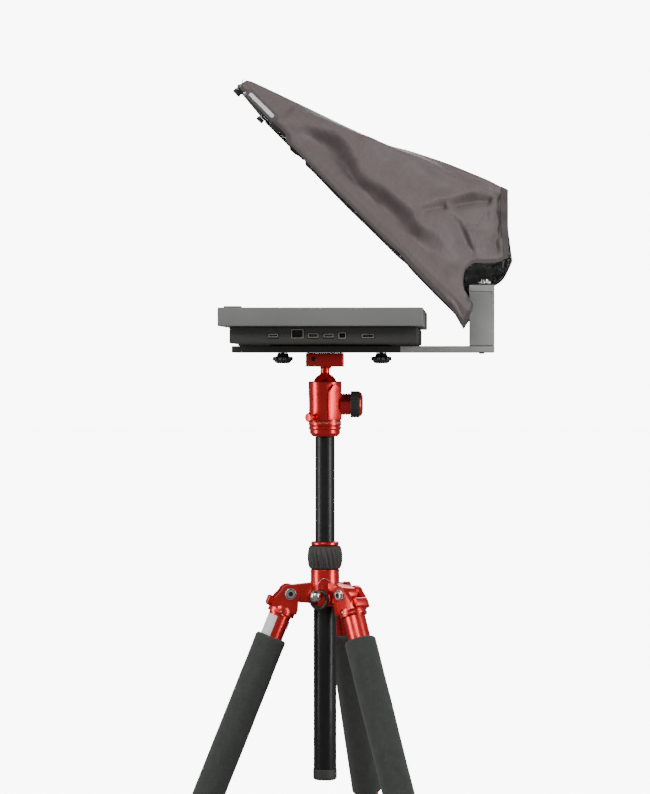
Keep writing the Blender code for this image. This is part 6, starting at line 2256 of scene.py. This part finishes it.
    def cloth(self, net: np.ndarray) -> bpy.types.Mesh:
        """The hood's thin shell, with its weave's UV map and a mark on its outer face.

        Args:
            net: the net.

        Returns:
            The mesh.
        """
        facing = self.normals(net)
        rows, steps = net.shape[:2]
        outer = net + facing * self.thick / 2
        inner = net - facing * self.thick / 2
        points = np.concatenate((outer.reshape(-1, 3), inner.reshape(-1, 3)))
        count = rows * steps
        i, j = np.meshgrid(np.arange(rows - 1), np.arange(steps - 1), indexing="ij")
        a = (i * steps + j).ravel()
        quads = np.stack((a, a + steps, a + steps + 1, a + 1), axis=1)
        faces = quads.tolist() + (quads[:, ::-1] + count).tolist()
        rim = [*range(steps), *((r + 1) * steps - 1 for r in range(1, rows)),
               *range(rows * steps - 2, (rows - 1) * steps - 1, -1), *(r * steps for r in range(rows - 2, 0, -1))]
        faces += [(a, b, b + count, a + count) for a, b in zip(rim, rim[1:] + rim[:1])]
        mesh = bpy.data.meshes.new("hood_cloth")
        mesh.from_pydata(points.tolist(), [], faces)
        marks = mesh.attributes.new("outside", "FLOAT", "POINT")
        marks.data.foreach_set("value", np.concatenate((np.ones(count), np.zeros(count))).astype(np.float32))
        along = np.cumsum(np.linalg.norm(np.diff(net, axis=1, prepend=net[:, :1]), axis=2), axis=1)
        back = np.cumsum(np.linalg.norm(np.diff(net, axis=0, prepend=net[:1]), axis=2), axis=0)
        flat = np.stack((along, back), axis=2).reshape(-1, 2)
        flat = np.concatenate((flat, flat))
        uv = mesh.uv_layers.new(name="weave")
        corners = np.empty(len(mesh.loops), np.int32)
        mesh.loops.foreach_get("vertex_index", corners)
        uv.data.foreach_set("uv", flat[corners].astype(np.float32).ravel())
        mesh.shade_smooth()
        mesh.set_sharp_from_angle(angle=math.radians(70))
        return mesh

    def build(self) -> None:
        """Sews the hood: cloth, rolled hems, seams, stitches and the blank patch."""
        net = self.net()
        facing = self.normals(net)
        mesh = self.cloth(net)
        cloth = piece("hood_cloth", mesh, CLOTH, "mirror", "hood")
        sewn = [cloth, *self.build_hems(net, facing), *self.build_stitches(net, facing),
                *self.build_patch(net, facing)]
        for part in sewn:
            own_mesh(part)

    def band(self, net: np.ndarray, facing: np.ndarray, width: float) -> bpy.types.Mesh:
        """A flat binding along a line of the net.

        Args:
            net: the line's points and, beside them, the points towards the cloth's inside.
            facing: the outward directions.
            width: the binding's width.

        Returns:
            The mesh.
        """
        line, beside = net
        into = beside - line
        into = into / np.maximum(np.linalg.norm(into, axis=1, keepdims=True), 1e-9)
        rise = self.thick / 2 + 0.45 * MM
        edge = 0.5 * MM
        profile = ((-edge, 0.0), (-edge * 0.4, rise), (width * 0.5, rise * 1.15), (width, rise * 0.8),
                   (width, -rise * 0.8), (width * 0.5, -rise * 1.15), (-edge * 0.4, -rise))
        points = np.stack([line + into * a + facing * b for a, b in profile], axis=1)
        rows, sides = points.shape[:2]
        faces = [
            (i * sides + k, i * sides + (k + 1) % sides, (i + 1) * sides + (k + 1) % sides, (i + 1) * sides + k)
            for i in range(rows - 1)
            for k in range(sides)
        ]
        faces += [tuple(range(sides))[::-1], tuple(range((rows - 1) * sides, rows * sides))]
        mesh = bpy.data.meshes.new("band")
        mesh.from_pydata(points.reshape(-1, 3).tolist(), [], faces)
        shape = bmesh.new()
        shape.from_mesh(mesh)
        return shaded(shape, angle=50.0)

    def build_hems(self, net: np.ndarray, facing: np.ndarray) -> list[bpy.types.Object]:
        """The bindings along the front edge, the two lower hems and the lens opening, whose band is drawn wider in
        the dark tape: partly a doubled hem and partly painted shade of its fold.
        """
        width = 4.5 * MM
        rear_band_and_shade = 2.2 * width
        lines = {
            "front": ((net[0], net[2]), facing[1], width),
            # Partly painted shade: the lens opening's band is 2.2 times as wide, a doubled hem plus the shade of its
            # fold.
            "rear": ((net[-1], net[-3]), facing[-2], rear_band_and_shade),
            "near": ((net[:, 0], net[:, 2]), facing[:, 1], width),
            "far": ((net[:, -1], net[:, -3]), facing[:, -2], width),
        }
        return [piece(f"hood_hem_{name}", self.band(pair, out, wide), TAPE, "mirror")
                for name, (pair, out, wide) in lines.items()]

    def build_stitches(self, net: np.ndarray, facing: np.ndarray) -> list[bpy.types.Object]:
        """Rows of stitches: inside each edge, along the top corners and down the side seams."""
        lifted = net + facing * (self.thick / 2 + 0.12 * MM)
        corner = self.side_steps + self.corner_steps // 2
        seam = int(0.62 * self.rows)
        lines = {
            "front": lifted[4],
            "rear": lifted[-9],
            "near_hem": lifted[3:-3, 4],
            "far_hem": lifted[3:-3, -5],
            "near_top": lifted[2:-2, corner],
            "far_top": lifted[2:-2, -corner - 1],
            "near_seam": lifted[seam:, int(0.9 * self.side_steps)],
            "far_seam": lifted[seam:, -int(0.9 * self.side_steps)],
        }
        made = []
        for name, line in lines.items():
            thread = [(0.0, -1.15 * MM), (0.22 * MM, -0.95 * MM), (0.3 * MM, 0.0), (0.22 * MM, 0.95 * MM),
                      (0.0, 1.15 * MM)]
            part = linked(lathe(thread, segments=7), "stitch")
            mesh = ALONG_PATH.grow(line_mesh(line), Part=part, Step=3.3 * MM, Material=THREAD.material())
            made.append(piece(f"hood_stitches_{name}", mesh, THREAD, "mirror"))
        return made

    def build_patch(self, net: np.ndarray, facing: np.ndarray) -> list[bpy.types.Object]:
        """The blank woven patch by the front edge, with one plain pale bar across it."""
        columns = slice(0, self.side_steps)
        surface = net[:, columns].reshape(-1, 3)
        outward = facing[:, columns].reshape(-1, 3)
        made = []
        for name, finish, start, end, width, lift in (
            ("hood_patch", PATCH_WEAVE, (-245.0, 227.0), (-209.0, 191.0), 11.0, 0.5),
            ("hood_patch_bar", PATCH_THREAD, (-241.5, 223.5), (-213.0, 195.0), 4.6, 1.0),
        ):
            made.append(piece(name, self.laid(surface, outward, start, end, width, lift), finish, "mirror"))
        return made

    def laid(self, surface: np.ndarray, outward: np.ndarray, start: Sequence[float], end: Sequence[float],
             width: float, lift: float) -> bpy.types.Mesh:
        """A thin rounded patch laid on the near side.

        Args:
            surface: the cloth's points.
            outward: its directions.
            start: X and Z of one end, in mm from the hinge.
            end: X and Z of the other.
            width: the patch's width in mm.
            lift: how far its face stands off the cloth, in mm.

        Returns:
            The mesh.
        """
        first, last = np.array(start), np.array(end)
        length = np.linalg.norm(last - first)
        ahead = (last - first) / length
        beside = np.array((-ahead[1], ahead[0]))
        long_steps, wide_steps = 40, 10
        radius = width / 2
        points, rises = [], []
        for i in range(long_steps + 1):
            s = length * i / long_steps
            nearness = min(s, length - s)
            bite = max(0.0, radius - nearness) / radius
            half = max(radius * math.sqrt(max(0.0, 1 - bite**2)), 0.15)
            for j in range(wide_steps + 1):
                w = half * (2 * j / wide_steps - 1)
                points.append(first + ahead * s + beside * w)
                on_rim = i in (0, long_steps) or j in (0, wide_steps)
                rises.append(0.12 if on_rim else lift)
        flat = surface[:, (0, 2)] - np.array(self.hinge)[[0, 2]]
        spots = []
        for (x, z), rise in zip(points, rises):
            gap = np.hypot(flat[:, 0] - x * MM, flat[:, 1] - z * MM)
            nearest = np.argpartition(gap, 4)[:4]
            weight = 1.0 / np.maximum(gap[nearest], 1e-6)
            weight = weight / weight.sum()
            y = float((surface[nearest, 1] * weight).sum())
            out = (outward[nearest] * weight[:, None]).sum(0)
            base = np.array((self.hinge.x + x * MM, y, self.hinge.z + z * MM))
            spots.append(base + out / np.linalg.norm(out) * (self.thick / 2 + rise * MM))
        back = [s + np.array((0.0, 0.25 * MM, 0.0)) for s in spots]
        steps = wide_steps + 1
        count = len(spots)
        faces = []
        for i in range(long_steps):
            for j in range(wide_steps):
                a = i * steps + j
                quad = (a, a + 1, a + steps + 1, a + steps)
                faces += [quad, tuple(v + count for v in quad[::-1])]
        rim = [*range(steps), *((r + 1) * steps - 1 for r in range(1, long_steps + 1)),
               *range((long_steps + 1) * steps - 2, long_steps * steps - 1, -1),
               *(r * steps for r in range(long_steps - 1, 0, -1))]
        faces += [(b, a, a + count, b + count) for a, b in zip(rim, rim[1:] + rim[:1])]
        mesh = bpy.data.meshes.new("patch")
        mesh.from_pydata([tuple(p) for p in [*spots, *back]], [], faces)
        shape = bmesh.new()
        shape.from_mesh(mesh)
        bmesh.ops.recalc_face_normals(shape, faces=shape.faces)
        shape.to_mesh(mesh)
        shape.free()
        mesh.shade_smooth()
        return mesh


# ---------------------------------------------------------------- studio


@dataclass(frozen=True)
class Lamp:
    """A soft rectangular light."""

    name: str
    spot: tuple[float, float, float]
    aim: tuple[float, float, float]
    width: float
    height: float
    power: float
    colour: tuple[float, float, float] = (1.0, 1.0, 1.0)


@dataclass
class Studio:
    """The pale floor, the lights and the camera."""

    lamps: tuple[Lamp, ...] = (
        Lamp("key_box", (-0.7, -2.3, 2.7), (0.0, 0.0, 0.85), 1.5, 1.0, 50.0),
        Lamp("left_box", (-2.3, -0.75, 0.95), (0.0, 0.0, 0.75), 0.75, 2.4, 44.0),
        Lamp("right_box", (2.3, -1.0, 0.95), (0.0, 0.0, 0.75), 0.9, 2.4, 54.0),
        Lamp("back_box", (0.4, 2.6, 2.2), (0.0, 0.0, 0.7), 1.6, 1.2, 30.0),
    )
    focal: float = 130.58
    distance: float = 3.6
    yaw: float = 2.8
    pitch: float = 0.637
    eye_height: float = 0.7112
    fill: float = 0.25
    surround: float = 9.0
    floor_glow: float = 8.4

    def build(self) -> None:
        """Sets the stage, the lights and the camera."""
        self.build_world()
        self.build_floor()
        for lamp in self.lamps:
            self.build_lamp(lamp)
        self.build_camera()

    def build_world(self) -> None:
        """A white surround that lights the object only softly, so that dark metal stays dark."""
        world = bpy.data.worlds.new("studio")
        world.use_nodes = True
        tree = world.node_tree
        soft = tree.nodes["Background"]
        soft.inputs["Color"].default_value = (1.0, 1.0, 1.0, 1.0)
        soft.inputs["Strength"].default_value = self.fill
        white = tree.nodes.new("ShaderNodeBackground")
        white.inputs["Strength"].default_value = self.surround
        white.inputs["Color"].default_value = (1.0, 1.0, 1.0, 1.0)
        path = tree.nodes.new("ShaderNodeLightPath")
        seen = tree.nodes.new("ShaderNodeMath")
        seen.operation = "MAXIMUM"
        choice = tree.nodes.new("ShaderNodeMixShader")
        tree.links.new(path.outputs["Is Camera Ray"], seen.inputs[0])
        tree.links.new(path.outputs["Is Transmission Ray"], seen.inputs[1])
        tree.links.new(seen.outputs[0], choice.inputs[0])
        tree.links.new(soft.outputs[0], choice.inputs[1])
        tree.links.new(white.outputs[0], choice.inputs[2])
        tree.links.new(choice.outputs[0], tree.nodes["World Output"].inputs["Surface"])
        bpy.context.scene.world = world

    def build_floor(self) -> None:
        """A wide round floor of pale paper."""
        radius, segments = 30.0, 96
        shape = bmesh.new()
        bmesh.ops.create_circle(shape, cap_ends=True, radius=radius, segments=segments)
        mesh = bpy.data.meshes.new("floor")
        shape.to_mesh(mesh)
        shape.free()
        paper = Graph("pale_paper")
        tone = paper.span(paper.noise(1.5, 2.0), 0.3, 0.7)
        shade = paper.blend(tone, (0.93, 0.93, 0.93), (0.95, 0.95, 0.95))
        paper.set(Base_Color=shade, Roughness=0.95, Specular_IOR_Level=0.1, Emission_Color=(1.0, 1.0, 1.0, 1.0),
                  Emission_Strength=self.floor_glow)
        mesh.materials.append(paper.material)
        floor = linked(mesh, "floor")
        floor.visible_diffuse = False
        floor.visible_glossy = False

    def build_lamp(self, lamp: Lamp) -> None:
        """Hangs one light."""
        light = bpy.data.lights.new(lamp.name, "AREA")
        light.shape = "RECTANGLE"
        light.size, light.size_y = lamp.width, lamp.height
        light.energy = lamp.power
        light.color = lamp.colour
        made = bpy.data.objects.new(lamp.name, light)
        made.visible_camera = False
        bpy.context.scene.collection.objects.link(made)
        made.location = lamp.spot
        made.rotation_euler = (Vector(lamp.aim) - Vector(lamp.spot)).to_track_quat("-Z", "Y").to_euler()

    def build_camera(self) -> None:
        """Stands the camera at the monitor's near side."""
        low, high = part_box("centre_column")
        middle = (low + high) / 2
        camera = bpy.data.cameras.new("camera")
        camera.lens = self.focal
        camera.sensor_width = 36.0
        camera.clip_end = 50.0
        made = bpy.data.objects.new("camera", camera)
        bpy.context.scene.collection.objects.link(made)
        yaw = math.radians(self.yaw)
        made.location = (middle.x + self.distance * math.sin(yaw), middle.y - self.distance * math.cos(yaw),
                         self.eye_height)
        made.rotation_euler = (math.radians(90 - self.pitch), 0.0, yaw)
        bpy.context.scene.camera = made


# ---------------------------------------------------------------- object


def main() -> None:
    """Builds the studio and every sub-assembly."""
    logging.basicConfig(level=logging.INFO, format="%(message)s")
    Studio().build()
    assemblies = [
        Column(),
        Spider(),
        Leg(1),
        Leg(2, label=True),
        Leg(3),
        BallHead(),
        Clamp(),
        PrompterBase(),
        Monitor(),
        MirrorFrame(),
        Hood(),
    ]
    for assembly in assemblies:
        assembly.build()
        LOG.info("built %s", type(assembly).__name__)


if __name__ == "__main__":
    main()
